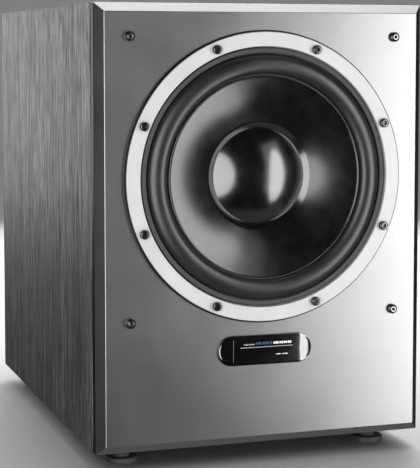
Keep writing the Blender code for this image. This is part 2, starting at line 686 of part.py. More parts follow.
def make_power_switch(rear):
    """A housing through the plate with a two-way rocker that turns about the axis across it."""
    x, y = POWER_CENTRE
    top = 2 * GAP + PLATE_THICKNESS
    flange = (ROCKER_HOLE[0] + 0.0030, ROCKER_HOLE[1] + 0.0030, 0.0020)
    housing = box("power_switch_housing", flange, "black_plastic", rear, (x, y, top + flange[2] / 2))
    barrel = (ROCKER_HOLE[0] - 2 * GAP, ROCKER_HOLE[1] - 2 * GAP, 0.024)
    join(housing, box("switch_barrel", barrel, None, rear, (x, y, top + 0.001 - barrel[2] / 2)))
    cavity = (ROCKER_HOLE[0] - 0.0050, ROCKER_HOLE[1] - 0.0050, 0.014)
    cut(housing, box("switch_cavity", cavity, None, rear, (x, y, top + 0.003 - cavity[2] / 2)))
    axis = add_empty("power_rocker_axis", (x, y, top - 0.001))
    axis.parent = rear
    reach = cavity[0] / 2 - 0.0010
    outline = [(-reach, 0.0022), (0.0, 0.0005)] + [(reach, 0.0022), (reach - 0.0010, -0.0030), (0.0, -0.0045),
                                                  (-reach + 0.0010, -0.0030)]
    tilt = (QUARTER, ROCKER_TILT, 0.0)
    outline_plate("power_rocker", [(px, py + 0.0025) for px, py in outline], cavity[1] - 0.0010, "black_plastic",
                  axis, (0.0, 0.0, 0.0), tilt)


def make_inlet(rear):
    """A mains inlet with three blades in its cavity and a fuse drawer under it."""
    x, y = INLET_CENTRE
    top = 2 * GAP + PLATE_THICKNESS
    width, height, thickness = INLET_FLANGE
    face = top + thickness
    inlet = outline_plate("mains_inlet", rounded_rectangle(width, height, 0.004), thickness, "black_plastic", rear,
                          (x, y, top + thickness / 2))
    barrel = (width - 0.014, height - 0.008, 0.026)
    join(inlet, box("inlet_barrel", barrel, None, rear, (x, y, top + 0.001 - barrel[2] / 2)))
    cavity = outline_plate("inlet_cavity", inlet_outline(INLET_CAVITY[0], INLET_CAVITY[1]), 2 * INLET_CAVITY[2], None,
                           rear, (x, y + INLET_UP, face))
    drawer_hole = (FUSE_SIZE[0] + 2 * GAP, FUSE_SIZE[1] + 2 * GAP, 0.040)
    cut(inlet, cavity, box("fuse_drawer_hole", drawer_hole, None, rear, (x, y + FUSE_UP, face - 0.010)))
    blade = (0.0020, 0.0040, 0.014)
    for number, (blade_x, blade_y) in enumerate(((-0.007, -0.0010), (0.007, -0.0010), (0.0, 0.0035)), 1):
        centre = (x + blade_x, y + INLET_UP + blade_y, face - INLET_CAVITY[2] - 0.001 + blade[2] / 2)
        join(inlet, box(f"inlet_blade_{number}", blade, None, rear, centre))
    drawer_z = face + 0.001 - FUSE_SIZE[2] / 2
    box("fuse_drawer", FUSE_SIZE, "black_plastic", rear, (x, y + FUSE_UP, drawer_z))


def inlet_outline(width, height):
    """A rectangle with its two upper corners cut off."""
    x = width / 2
    y = height / 2
    corner = 0.004
    return [(-x, -y), (x, -y), (x, y - corner), (x - corner, y), (-x + corner, y), (-x, y - corner)]


def make_sockets(rear):
    """Three-pin round sockets: inputs have a core in a ring-shaped gap, outputs have three pins in a bore."""
    base = 2 * GAP + PLATE_THICKNESS
    for name, (x, y) in XLR_CENTRES.items():
        width, height, thickness = XLR_FLANGE
        face = base + thickness
        socket = outline_plate(name, rounded_rectangle(width, height, 0.003), thickness, "nickel", rear,
                               (x, y, base + thickness / 2))
        barrel = rods(f"{name}_barrel", XLR_RADIUS, face - XLR_DEPTH, face - 0.001, [(x, y)], segments=20)
        join(socket, add(barrel.name, barrel, None, rear))
        if "input" in name:
            gap_profile = ring_profile(0.0097, 0.0076, 0.002, -0.0150)
            cut(socket, turned(f"{name}_gap", gap_profile, None, rear, (x, y, face), segments=20, closed=True))
        else:
            bore = rods(f"{name}_bore", 0.0086, face - 0.0160, face + 0.002, [(x, y)], segments=20)
            cut(socket, add(bore.name, bore, None, rear))
            pins = rods(f"{name}_pins", 0.0012, face - 0.0170, face - 0.0030,
                        [(x + px, y + py) for px, py in circle_points(0.0057, 3, 90)], segments=8)
            join(socket, add(pins.name, pins, None, rear))


def make_board(rear):
    """The amplifier board on spacers behind the plate, with its larger components."""
    x, y = BOARD_CENTRE
    width, height, thickness = BOARD_SIZE
    inner = BOARD_INWARD - thickness / 2
    board = box("circuit_board", BOARD_SIZE, "circuit", rear, (x, y, BOARD_INWARD))
    spacers = [(x + sx * (width / 2 - 0.006), y + sy * (height / 2 - 0.006)) for sx in (-1, 1) for sy in (-1, 1)]
    posts = rods("board_spacers", 0.0030, BOARD_INWARD, -GAP, spacers, segments=8)
    cans = rods("board_capacitors", 0.0120, inner - 0.035, inner + 0.0005,
                [(x - 0.034, y + 0.028), (x - 0.006, y + 0.028), (x - 0.034, y - 0.004), (x - 0.006, y - 0.004)],
                segments=16)
    join(board, add("board_spacers", posts, None, rear), add("board_capacitors", cans, None, rear))
    join(board, box("board_rectifier", (0.020, 0.020, 0.008), None, rear, (x + 0.030, y + 0.028, inner - 0.0035)))
    join(board, box("board_terminals", (0.030, 0.012, 0.012), None, rear, (x + 0.030, y - 0.030, inner - 0.0055)))


def make_transformer(cabinet):
    outer, inner = TOROID_RADII
    bottom = PANEL_THICKNESS + GAP
    top = bottom + TOROID_HEIGHT
    edge = 0.008
    profile = [(inner, top - edge / 2), (inner + edge / 2, top), (outer - edge, top), (outer, top - edge),
               (outer, bottom + edge), (outer - edge, bottom), (inner + edge / 2, bottom), (inner, bottom + edge / 2)]
    turned("toroidal_transformer", profile, "black_plastic", cabinet, (0.0, TOROID_DEPTH, 0.0), segments=20,
           closed=True)
    washer = top + GAP
    bolt = [(0.0, washer + 0.007), (0.006, washer + 0.007), (0.006, washer + 0.002), (0.032, washer + 0.002),
            (0.032, washer), (0.003, washer), (0.003, PANEL_THICKNESS - 0.011), (0.0, PANEL_THICKNESS - 0.011)]
    turned("transformer_bolt", bolt, "zinc_steel", cabinet, (0.0, TOROID_DEPTH, 0.0), segments=16)


def smooth_route(points, per_stretch):
    """Points along a smooth curve through these points, evenly split in each stretch between two of them."""
    padded = [points[0], *points, points[-1]]
    route = []
    for a, b, c, d in zip(padded, padded[1:], padded[2:], padded[3:]):
        for step in range(per_stretch):
            t = step / per_stretch
            route.append(tuple(
                0.5 * (2 * q + (r - p) * t + (2 * p - 5 * q + 4 * r - s) * t**2 + (3 * q - p - 3 * r + s) * t**3)
                for p, q, r, s in zip(a, b, c, d)
            ))
    return [*route, points[-1]]


def make_speaker_cable(cabinet):
    """The two-core lead from the amplifier board, through the brace's window, to the driver's terminals."""
    board_end = (-0.070, CABINET_DEPTH - 0.046, PLATE_HEIGHT + 0.045)
    strip_end = (0.0, 0.054, DRIVER_HEIGHT - SHELF_OUTER - 0.018)
    route = [board_end, (-0.072, 0.440, 0.270), (-0.075, 0.380, 0.225), (-0.060, 0.300, 0.190),
             (-0.045, 0.220, 0.155), (-0.025, 0.140, 0.140), (-0.005, 0.085, 0.150), (0.0, 0.060, 0.175), strip_end]
    curve = bpy.data.curves.new("speaker_cable", "CURVE")
    curve.dimensions = "3D"
    curve.bevel_depth = CABLE_RADIUS
    curve.bevel_resolution = 2
    curve.use_fill_caps = True
    points = smooth_route(route, 3)
    spline = curve.splines.new("POLY")
    spline.points.add(len(points) - 1)
    for point, place in zip(spline.points, points):
        point.co = (*place, 1.0)
    add("speaker_cable", curve, "black_rubber", cabinet)


def main():
    cabinet = add_empty("cabinet_front", (0.0, FRONT_Y, FOOT_HEIGHT))
    driver = add_empty("driver_axis", (0.0, FRONT_Y, FOOT_HEIGHT + DRIVER_HEIGHT), (QUARTER, 0.0, 0.0))
    rear = add_empty("plate_centre", (0.0, BACK_Y, FOOT_HEIGHT + PLATE_HEIGHT), (QUARTER, 0.0, math.pi))
    half = STUD_SPACING / 2
    middle = STUD_CENTRE_HEIGHT - DRIVER_HEIGHT
    studs = [(-half, middle + half), (half, middle + half), (-half, middle - half), (half, middle - half)]
    cut_baffle(make_baffle(cabinet), driver, studs)
    make_panels(cabinet)
    make_wadding(cabinet)
    make_feet()
    make_basket(driver)
    make_moving_assembly(driver)
    make_suspension(driver)
    make_motor(driver)
    make_driver_screws(driver)
    make_studs(driver, studs)
    make_badge(driver)
    make_plate(rear)
    make_heatsink(rear)
    for name, centre in KNOB_CENTRES.items():
        make_control(rear, name, centre)
    make_phase_switch(rear)
    make_power_switch(rear)
    make_inlet(rear)
    make_sockets(rear)
    make_board(rear)
    make_transformer(cabinet)
    make_speaker_cable(cabinet)


main()
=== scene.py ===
"""Looks for the active studio subwoofer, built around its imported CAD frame.

Metres, +Z up, the front faces -Y. Three local frames place the pieces:
cabinet (x, depth from the flat front, height from the underside), driver (x, up, forward of the flat
front) and rear (across and up as seen from behind, out from the back panel).
"""

import math

import bmesh
import bpy
import numpy as np
from mathutils import Matrix, Vector, noise


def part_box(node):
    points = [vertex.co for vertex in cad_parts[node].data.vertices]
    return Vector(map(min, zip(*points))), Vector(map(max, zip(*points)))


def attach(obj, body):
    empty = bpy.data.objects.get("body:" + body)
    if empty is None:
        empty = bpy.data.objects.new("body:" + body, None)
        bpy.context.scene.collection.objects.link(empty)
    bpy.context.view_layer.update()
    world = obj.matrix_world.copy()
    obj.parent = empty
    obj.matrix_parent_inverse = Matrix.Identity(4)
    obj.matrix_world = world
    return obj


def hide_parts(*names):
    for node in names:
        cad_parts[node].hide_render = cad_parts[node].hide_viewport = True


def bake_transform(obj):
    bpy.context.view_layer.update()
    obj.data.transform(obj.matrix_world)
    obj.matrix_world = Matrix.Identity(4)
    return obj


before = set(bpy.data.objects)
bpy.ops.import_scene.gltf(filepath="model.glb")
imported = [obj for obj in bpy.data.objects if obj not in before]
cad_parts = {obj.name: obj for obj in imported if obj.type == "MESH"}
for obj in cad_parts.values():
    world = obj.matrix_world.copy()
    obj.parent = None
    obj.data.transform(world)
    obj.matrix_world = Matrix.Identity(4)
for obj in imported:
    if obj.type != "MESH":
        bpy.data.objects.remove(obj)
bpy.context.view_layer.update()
bpy.context.scene.view_settings.view_transform = "Standard"

GAP = 0.0003
QUARTER = math.pi / 2

BAFFLE_LOW, BAFFLE_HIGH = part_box("front_baffle")
SIDE_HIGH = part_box("right_side_panel")[1]
CONE_LOW, CONE_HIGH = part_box("cone")
PLATE_LOW, PLATE_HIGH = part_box("amplifier_plate")
WIDTH = BAFFLE_HIGH.x - BAFFLE_LOW.x
HEIGHT = BAFFLE_HIGH.z - BAFFLE_LOW.z
FRONT_Y = BAFFLE_LOW.y
BACK_Y = SIDE_HIGH.y
BASE_Z = BAFFLE_LOW.z
DEPTH = BACK_Y - FRONT_Y
AXIS_Z = (CONE_LOW.z + CONE_HIGH.z) / 2
PLATE_Z = (PLATE_LOW.z + PLATE_HIGH.z) / 2

CABINET = Matrix.Translation((0.0, FRONT_Y, BASE_Z))
DRIVER = Matrix.Translation((0.0, FRONT_Y, AXIS_Z)) @ Matrix.Rotation(QUARTER, 4, "X")
TURNED_ROUND = Matrix.Rotation(math.pi, 4, "Z")
REAR = Matrix.Translation((0.0, BACK_Y, PLATE_Z)) @ TURNED_ROUND @ Matrix.Rotation(QUARTER, 4, "X")

# The CAD's own dimensions, repeated for the pieces that replace its nodes
BAFFLE_THICKNESS = 0.019
CHAMFER_WIDTH = 0.0093
CHAMFER_DEPTH = 0.0103
PANEL_THICKNESS = 0.018
RING_OUTER = 0.155
RING_INNER = 0.1398
RING_PROUD = 0.00475
BASKET_RADIUS = 0.1406
LEDGE_INNER = 0.131
LEDGE_TOP = -0.0023
LEDGE_BOTTOM = -0.014
SCREW_CIRCLE = 0.1472
SCREW_HOLE = 0.0031
SURROUND_LAND = -0.0008
ROLL_OUTER = 0.1321
ROLL_INNER = 0.11
ROLL_HEIGHT = 0.0078
SURROUND_WALL = 0.0012
CONE_RIM = 0.1085
CONE_RIM_HEIGHT = 0.002
CONE_NECK = 0.0386
CONE_WAIST = 0.058
CONE_WAIST_DEPTH = 0.0196
CONE_RIM_SHARE = 0.36
CONE_FACE_SHARE = 0.72
CONE_WALL = 0.0012
CAP_DOME_RADIUS = 0.052
CAP_DOME_HEIGHT = 0.015
CAP_WALL = 0.001
FORMER_RADIUS = 0.038
SPIDER_HEIGHT = -0.044
SPIDER_LAND = 0.07
SPIDER_OUTER = 0.077
SPIDER_WAVES = 2
SPIDER_WAVE_HEIGHT = 0.0022
SPIDER_WALL = 0.0006
SHELF_OUTER = 0.082
SHELF_INNER = 0.0712
MAGNET_SEAT = -0.062
BASKET_LEGS = 6
PLATE_SIZE = (0.25, 0.34)
PLATE_FACE = 0.0033
PLATE_OUTER = 2 * GAP + 0.003
TRANSFORMER_DEPTH = 0.4
XLR_CENTRES = {
    "left_input": (-0.092, -0.075),
    "right_input": (-0.046, -0.075),
    "left_output": (-0.092, -0.122),
    "right_output": (-0.046, -0.122),
}
KNOB_CENTRES = {"gain": (-0.09, -0.022), "crossover": (-0.04, -0.022)}
PHASE_CENTRE = (0.012, -0.022)
POWER_CENTRE = (0.086, -0.04)
INLET_CENTRE = (0.086, -0.104)
MOUTH_UP = 0.009


def shift(x, y, z=0.0):
    return Matrix.Translation((x, y, z))


def linked(name, data):
    """A new object in the scene."""
    obj = bpy.data.objects.new(name, data)
    bpy.context.scene.collection.objects.link(obj)
    return obj


# Node helpers


class Shader:
    """A node material with one principled shader, and short calls for the nodes that feed it."""

    def __init__(self, name, **sockets):
        self.material = bpy.data.materials.new(name)
        self.material.use_nodes = True
        self.tree = self.material.node_tree
        self.shader = self.tree.nodes["Principled BSDF"]
        for socket, value in sockets.items():
            self.set(socket.replace("_", " "), value)
        self.place = self.node("ShaderNodeTexCoord").outputs["Object"]

    def feed(self, socket, value):
        """Another node's output linked into the socket, or a number or a colour set on it."""
        if isinstance(value, bpy.types.NodeSocket):
            self.tree.links.new(value, socket)
        elif isinstance(value, tuple) and len(value) < len(socket.default_value):
            socket.default_value = (*value, 1.0)
        else:
            socket.default_value = value

    def set(self, socket, value):
        self.feed(self.shader.inputs[socket], value)

    def node(self, kind, settings=None, **inputs):
        """A new node. Each input is called by its name or, as in i0, by its number."""
        made = self.tree.nodes.new(kind)
        for key, value in (settings or {}).items():
            setattr(made, key, value)
        for key, value in inputs.items():
            by_number = key[0] == "i" and key[1:].isdigit()
            self.feed(made.inputs[int(key[1:]) if by_number else key], value)
        return made

    def mapped(self, scale, source=None):
        return self.node("ShaderNodeMapping", Vector=source or self.place, Scale=scale).outputs[0]

    def noise(self, scale, detail=3.0, rough=0.55, stretch=(1.0, 1.0, 1.0), distort=0.0, source=None):
        place = self.mapped(tuple(scale * s for s in stretch), source)
        return self.node("ShaderNodeTexNoise", Vector=place, Scale=1.0, Detail=detail, Roughness=rough,
                         Distortion=distort).outputs["Fac"]

    def ramp(self, factor, low, high, to_low=0.0, to_high=1.0):
        """The factor's span from low to high, turned into the span to_low to to_high and clamped."""
        spans = {"From Min": low, "From Max": high, "To Min": to_low, "To Max": to_high}
        return self.node("ShaderNodeMapRange", {"clamp": True}, Value=factor, **spans).outputs["Result"]

    def mix(self, factor, first, second):
        return self.node("ShaderNodeMix", {"data_type": "RGBA"}, i0=factor, i6=first, i7=second).outputs[2]

    def maths(self, operation, first, second=0.0):
        return self.node("ShaderNodeMath", {"operation": operation}, i0=first, i1=second).outputs[0]

    def waves(self, length, times):
        return self.maths("SINE", self.maths("MULTIPLY", length, times))

    def weigh(self, first, share, second, other):
        """Two values added, each times its share."""
        return self.maths("ADD", self.maths("MULTIPLY", first, share), self.maths("MULTIPLY", second, other))

    def bump(self, height, distance, strength=1.0, onto=None):
        inputs = {"Height": height, "Distance": distance, "Strength": strength}
        if onto is not None:
            inputs["Normal"] = onto
        return self.node("ShaderNodeBump", **inputs).outputs[0]

    def colour(self, factor, low, high, first, second):
        self.set("Base Color", self.mix(self.ramp(factor, low, high), first, second))

    def gloss(self, factor, low, high, first, second):
        self.set("Roughness", self.ramp(factor, low, high, first, second))

    def relief(self, height, distance, strength=1.0, onto=None):
        self.set("Normal", self.bump(height, distance, strength, onto))


def plain(name, colour, other, roughness, metallic=0.0, grain=900.0, blotch=25.0, depth=0.00004,
          stretch=(1.0, 1.0, 1.0), **sockets):
    """A moulded, painted or machined surface: blotches of colour and gloss, and a fine grain that is bumped."""
    made = Shader(name, Metallic=metallic, **sockets)
    broad = made.noise(blotch, detail=4.0, stretch=stretch)
    fine = made.noise(grain, detail=2.0, stretch=stretch)
    mixed = made.weigh(broad, 0.6, fine, 0.4)
    made.colour(mixed, 0.35, 0.65, colour, other)
    made.gloss(mixed, 0.35, 0.65, *roughness)
    made.relief(fine, depth)
    return made.material


# Materials


def lacquer_material():
    """Satin metallic lacquer: fine flakes, a faint orange peel and a slow drift of tone."""
    made = Shader("silver_lacquer", Metallic=1.0)
    flakes = made.noise(2600.0, detail=1.0)
    peel = made.noise(260.0, detail=2.0)
    drift = made.noise(9.0, detail=3.0)
    tone = made.weigh(flakes, 0.55, drift, 0.45)
    made.colour(tone, 0.36, 0.64, (0.2, 0.202, 0.205), (0.26, 0.262, 0.265))
    made.gloss(drift, 0.3, 0.7, 0.33, 0.37)
    made.relief(flakes, 0.00003, 0.5, made.bump(peel, 0.00003, 0.35))
    return made.material


def ash_material(name, *stretch):
    """Black-stained ash: dark open pores drawn out along the grain, over paler bands of figure."""
    made = Shader(name)
    warp = made.noise(7.0, detail=2.0)
    swirl = made.node("ShaderNodeTexNoise", Vector=made.mapped((6.0, 6.0, 6.0)), Scale=1.0, Detail=2.0)
    wander = made.node("ShaderNodeVectorMath", {"operation": "SCALE"}, i0=swirl.outputs["Color"], i3=0.01)
    warped = made.node("ShaderNodeVectorMath", {"operation": "ADD"}, i0=made.place, i1=wander.outputs[0])
    place = warped.outputs[0]
    bands = made.noise(26.0, 3.0, 0.6, stretch, source=place)
    streaks = made.noise(120.0, 4.0, 0.7, stretch, source=place)
    pores = made.noise(420.0, 2.0, 0.6, stretch, source=place)
    tone = made.weigh(streaks, 0.65, bands, 0.35)
    pale = made.mix(made.ramp(tone, 0.4, 0.62), (0.012, 0.0125, 0.014), (0.118, 0.121, 0.13))
    open_pores = made.ramp(pores, 0.4, 0.52)
    made.set("Base Color", made.mix(open_pores, (0.006, 0.006, 0.007), pale))
    made.gloss(made.maths("MULTIPLY", tone, open_pores), 0.1, 0.6, 0.62, 0.44)
    height = made.weigh(open_pores, 0.6, tone, 0.5)
    made.relief(height, 0.00035, 0.55, made.bump(warp, 0.0002, 0.2))
    return made.material


def cone_material(name, roughness, index):
    """Gloss black polypropylene with very faint turned rings and fine dust-like gloss changes."""
    made = Shader(name, IOR=index)
    haze = made.noise(60.0, detail=4.0)
    made.colour(haze, 0.3, 0.7, (0.002, 0.002, 0.0022), (0.004, 0.004, 0.0043))
    made.gloss(haze, 0.3, 0.7, roughness, roughness + 0.04)
    across = made.mapped((1.0, 1.0, 0.0))
    radius = made.node("ShaderNodeVectorMath", {"operation": "LENGTH"}, i0=across).outputs["Value"]
    made.relief(made.waves(radius, 5200.0), 0.0000012, 0.25)
    return made.material


def spider_material():
    """Resin-stiffened cotton: a square weave of threads."""
    made = Shader("spider_cloth", Roughness=0.85)
    across = made.node("ShaderNodeSeparateXYZ", Vector=made.place).outputs
    weave = made.maths("MULTIPLY", made.waves(across["X"], 7000.0), made.waves(across["Y"], 7000.0))
    blotch = made.noise(50.0, detail=4.0)
    base = made.mix(made.ramp(blotch, 0.3, 0.7), (0.5, 0.36, 0.14), (0.68, 0.52, 0.24))
    made.set("Base Color", made.mix(made.ramp(weave, -1.0, 1.0, 0.0, 0.5), base, (0.34, 0.24, 0.09)))
    made.relief(weave, 0.00012, 0.8)
    return made.material


def wadding_material():
    """Loose polyester fibre."""
    made = Shader("wadding", Roughness=0.95, Sheen_Weight=0.4, Sheen_Roughness=0.6)
    fibres = made.noise(900.0, 5.0, 0.7, (1.0, 0.25, 1.0), distort=2.0)
    clumps = made.noise(45.0, detail=4.0)
    made.colour(made.weigh(fibres, 0.5, clumps, 0.5), 0.35, 0.65, (0.55, 0.53, 0.48), (0.82, 0.81, 0.77))
    made.relief(fibres, 0.0006, 0.9, made.bump(clumps, 0.003, 0.6))
    return made.material


def winding_material():
    """Enamelled copper wire, wound turn by turn along the coil."""
    made = Shader("copper_winding", Metallic=1.0)
    turns = made.waves(made.node("ShaderNodeSeparateXYZ", Vector=made.place).outputs["Z"], 14000.0)
    made.colour(turns, -1.0, 1.0, (0.42, 0.14, 0.06), (0.86, 0.42, 0.22))
    made.gloss(made.noise(200.0), 0.3, 0.7, 0.24, 0.4)
    made.relief(turns, 0.0002, 0.8)
    return made.material


def wrap_material():
    """Polyester tape wound round a toroidal core in overlapping turns."""
    made = Shader("transformer_wrap")
    across = made.node("ShaderNodeSeparateXYZ", Vector=made.place).outputs
    angle = made.maths("ARCTAN2", across["Y"], across["X"])
    turn = made.maths("FRACT", made.maths("MULTIPLY", angle, 11.0))
    made.colour(turn, 0.0, 0.25, (0.25, 0.17, 0.03), (0.66, 0.5, 0.12))
    made.gloss(made.noise(140.0), 0.3, 0.7, 0.26, 0.45)
    made.relief(turn, 0.0006, 0.7)
    return made.material


def circuit_material():
    """Green solder mask with paler tracks under it."""
    made = Shader("circuit", Roughness=0.35, Coat_Weight=0.5, Coat_Roughness=0.15)
    tracks = made.node("ShaderNodeTexBrick", Vector=made.mapped((160.0, 160.0, 160.0)), Scale=1.0,
                       Color1=(0.02, 0.12, 0.04), Color2=(0.03, 0.16, 0.06), Mortar=(0.07, 0.27, 0.1),
                       **{"Mortar Size": 0.06}).outputs
    made.set("Base Color", tracks["Color"])
    made.relief(tracks["Fac"], 0.00004, 0.5)
    return made.material


M = {
    "lacquer": lacquer_material(),
    "ash_sides": ash_material("black_ash_upright", 1.5, 1.5, 0.06),
    "ash_level": ash_material("black_ash_level", 1.5, 0.06, 1.5),
    "board": plain("raw_board", (0.34, 0.24, 0.14), (0.5, 0.38, 0.25), (0.8, 0.92), grain=1400.0, depth=0.0001),
    "wadding": wadding_material(),
    "cast": plain("cast_silver", (0.36, 0.36, 0.36), (0.42, 0.42, 0.415), (0.4, 0.48), 0.1, grain=1500.0,
                  depth=0.00005),
    "rubber": plain("surround_rubber", (0.005, 0.005, 0.0055), (0.01, 0.01, 0.011), (0.32, 0.4), grain=1800.0,
                    depth=0.00004),
    "foam": plain("gasket_rubber", (0.018, 0.018, 0.019), (0.034, 0.034, 0.035), (0.6, 0.72), grain=1500.0,
                  depth=0.0002),
    "foot": plain("foot_rubber", (0.012, 0.012, 0.012), (0.026, 0.026, 0.027), (0.6, 0.72), grain=1200.0,
                  depth=0.0001),
    "cone": cone_material("gloss_cone", 0.18, 1.54),
    "dome": cone_material("gloss_dome", 0.15, 1.75),
    "gloss": plain("gloss_badge", (0.0015, 0.0015, 0.002), (0.003, 0.003, 0.0035), (0.07, 0.12), grain=700.0,
                   depth=0.000001, IOR=1.9),
    "black_steel": plain("black_oxide", (0.012, 0.012, 0.013), (0.03, 0.029, 0.028), (0.26, 0.4), 0.7,
                         grain=2200.0, depth=0.00002),
    "screw": plain("screw_black", (0.05, 0.049, 0.047), (0.11, 0.107, 0.102), (0.18, 0.26), 0.9, grain=2200.0,
                   depth=0.00001),
    "stud": plain("stud_plastic", (0.002, 0.002, 0.002), (0.005, 0.005, 0.005), (0.26, 0.34), grain=2400.0,
                  depth=0.00003),
    "eyelet": plain("eyelet_steel", (0.2, 0.2, 0.19), (0.3, 0.3, 0.29), (0.2, 0.3), 1.0, grain=1200.0,
                    depth=0.00002),
    "copper": winding_material(),
    "former": plain("coil_former", (0.48, 0.33, 0.1), (0.66, 0.49, 0.2), (0.34, 0.46), grain=900.0),
    "spider": spider_material(),
    "zinc": plain("zinc_steel", (0.52, 0.52, 0.48), (0.68, 0.67, 0.62), (0.24, 0.4), 1.0, grain=1300.0,
                  blotch=60.0),
    "ferrite": plain("ferrite", (0.04, 0.039, 0.038), (0.085, 0.083, 0.08), (0.66, 0.8), grain=1600.0,
                     depth=0.0001),
    "plastic": plain("black_plastic", (0.016, 0.016, 0.017), (0.03, 0.03, 0.032), (0.38, 0.5), grain=2400.0,
                     depth=0.00006),
    "anodised": plain("black_anodised", (0.03, 0.03, 0.033), (0.055, 0.055, 0.06), (0.38, 0.48), 0.45,
                      grain=1800.0, depth=0.00005),
    "extruded": plain("black_anodised_extrusion", (0.014, 0.014, 0.016), (0.036, 0.036, 0.04), (0.34, 0.5), 0.5,
                      grain=2600.0, blotch=260.0, depth=0.00006, stretch=(1.0, 0.02, 1.0)),
    "circuit": circuit_material(),
    "wrap": wrap_material(),
    "nickel": plain("nickel", (0.62, 0.6, 0.56), (0.76, 0.74, 0.7), (0.18, 0.3), 1.0, depth=0.00002),
    "brass": plain("brass", (0.66, 0.48, 0.2), (0.8, 0.62, 0.3), (0.2, 0.32), 1.0, depth=0.00002),
    "white": plain("white_plastic", (0.6, 0.6, 0.57), (0.72, 0.72, 0.69), (0.34, 0.44), grain=1400.0),
    "print": plain("white_print", (0.66, 0.66, 0.66), (0.8, 0.8, 0.8), (0.5, 0.6), grain=3000.0),
    "blue": plain("blue_print", (0.008, 0.028, 0.09), (0.025, 0.06, 0.16), (0.45, 0.55), grain=3000.0),
    "grey": plain("grey_print", (0.26, 0.27, 0.28), (0.36, 0.37, 0.38), (0.45, 0.55), grain=3000.0),
    "jacket": plain("cable_jacket", (0.01, 0.01, 0.011), (0.022, 0.022, 0.023), (0.42, 0.55), grain=900.0),
    "can": plain("capacitor_sleeve", (0.01, 0.012, 0.022), (0.02, 0.024, 0.04), (0.22, 0.34), grain=500.0),
}


# Mesh helpers


def arc(x, y, radius, start, end, steps):
    """Points on a circle's arc with its ends, the angles in degrees."""
    angles = [math.radians(start + (end - start) * i / steps) for i in range(steps + 1)]
    return [(x + radius * math.cos(a), y + radius * math.sin(a)) for a in angles]


def spread(start, end, steps):
    return [start + (end - start) * i / steps for i in range(steps + 1)]


def circle_points(radius, count, first=0.0):
    angles = [math.radians(first) + 2 * math.pi * i / count for i in range(count)]
    return [(radius * math.cos(a), radius * math.sin(a)) for a in angles]


def rounded(points, radius, steps=4, closed=True):
    """An outline with rounded corners. The radius is one number, or one for each point."""
    made = []
    count = len(points)
    radii = radius if isinstance(radius, (list, tuple)) else [radius] * count
    for index, point in enumerate(points):
        here = Vector(point)
        before = Vector(points[index - 1]) - here
        after = Vector(points[(index + 1) % count]) - here
        end = not closed and index in (0, count - 1)
        if end or radii[index] <= 0 or before.length < 1e-9 or after.length < 1e-9:
            made.append(tuple(here))
            continue
        corner = before.angle(after)
        if corner > math.pi - 0.02:
            made.append(tuple(here))
            continue
        half = math.tan(corner / 2)
        reach = min(radii[index] / half, 0.49 * before.length, 0.49 * after.length)
        start = before.normalized() * reach
        finish = after.normalized() * reach
        middle = (start + finish).normalized() * (reach / math.cos(corner / 2))
        spoke = start - middle
        sweep = spoke.angle_signed(finish - middle)
        for step in range(steps + 1):
            turned_spoke = spoke.copy()
            turned_spoke.rotate(Matrix.Rotation(-sweep * step / steps, 2))
            made.append(tuple(here + middle + turned_spoke))
    return made


def rectangle(width, height, radius=0.0, steps=6, x=0.0, y=0.0):
    left, right, low, high = x - width / 2, x + width / 2, y - height / 2, y + height / 2
    corners = [(left, low), (right, low), (right, high), (left, high)]
    return rounded(corners, radius, steps) if radius else corners


def mesh_from(bm, name="mesh"):
    bmesh.ops.recalc_face_normals(bm, faces=bm.faces)
    mesh = bpy.data.meshes.new(name)
    bm.to_mesh(mesh)
    bm.free()
    return mesh


def join_rings(bm, rings):
    """Faces between each ring of points and the next."""
    for first, second in zip(rings, rings[1:]):
        for step in range(len(first)):
            after = (step + 1) % len(first)
            bm.faces.new((first[step], second[step], second[after], first[after]))


def revolve(profile, segments=128, closed=False, wobble=None):
    """A profile of (radius, height) turned about Z. The wobble scales each point's radius by its angle."""
    bm = bmesh.new()
    angles = [2 * math.pi * step / segments for step in range(segments)]
    rings = []
    for radius, height in profile:
        if radius < 1e-7:
            rings.append([bm.verts.new((0.0, 0.0, height))])
            continue
        ring = []
        for angle in angles:
            reach = radius * (wobble(angle, radius, height) if wobble else 1.0)
            ring.append(bm.verts.new((reach * math.cos(angle), reach * math.sin(angle), height)))
        rings.append(ring)
    pairs = list(zip(rings, rings[1:]))
    if closed:
        pairs.append((rings[-1], rings[0]))
    for first, second in pairs:
        for step in range(segments):
            after = (step + 1) % segments
            corners = []
            for ring, order in ((first, (step, after)), (second, (after, step))):
                corners.extend([ring[0]] if len(ring) == 1 else [ring[order[0]], ring[order[1]]])
            if len(corners) > 2:
                bm.faces.new(corners)
    return mesh_from(bm)


def turned(points, radii, steps, segments, closed=False):
    """A profile with rounded corners, turned about Z. A closed one is a ring."""
    return revolve(rounded(points, radii, steps, closed), segments, closed)


def band(first, second, top, bottom):
    """The four corners of a ring's section between two radii."""
    return [(first, top), (second, top), (second, bottom), (first, bottom)]


def shell(front, wall):
    """A closed profile: a front line of (radius, height), and the same line pushed back by the wall."""
    points = [Vector(p) for p in front]
    back = []
    for index, point in enumerate(points):
        ahead = points[min(index + 1, len(points) - 1)]
        behind = points[max(index - 1, 0)]
        along = (ahead - behind).normalized()
        off = Vector((along.y, -along.x)) * wall
        back.append((0.0 if point.x < 1e-7 else max(point.x + off.x, 0.0), point.y + off.y))
    return [tuple(p) for p in points] + back[::-1]


def bevel(bm, edges, width, steps):
    bmesh.ops.bevel(bm, geom=edges, offset=width, segments=steps, profile=0.5, affect="EDGES",
                    clamp_overlap=True)


def cube(bm, middle, size):
    bmesh.ops.create_cube(bm, size=1.0, matrix=Matrix.Translation(middle) @ Matrix.Diagonal((*size, 1.0)))


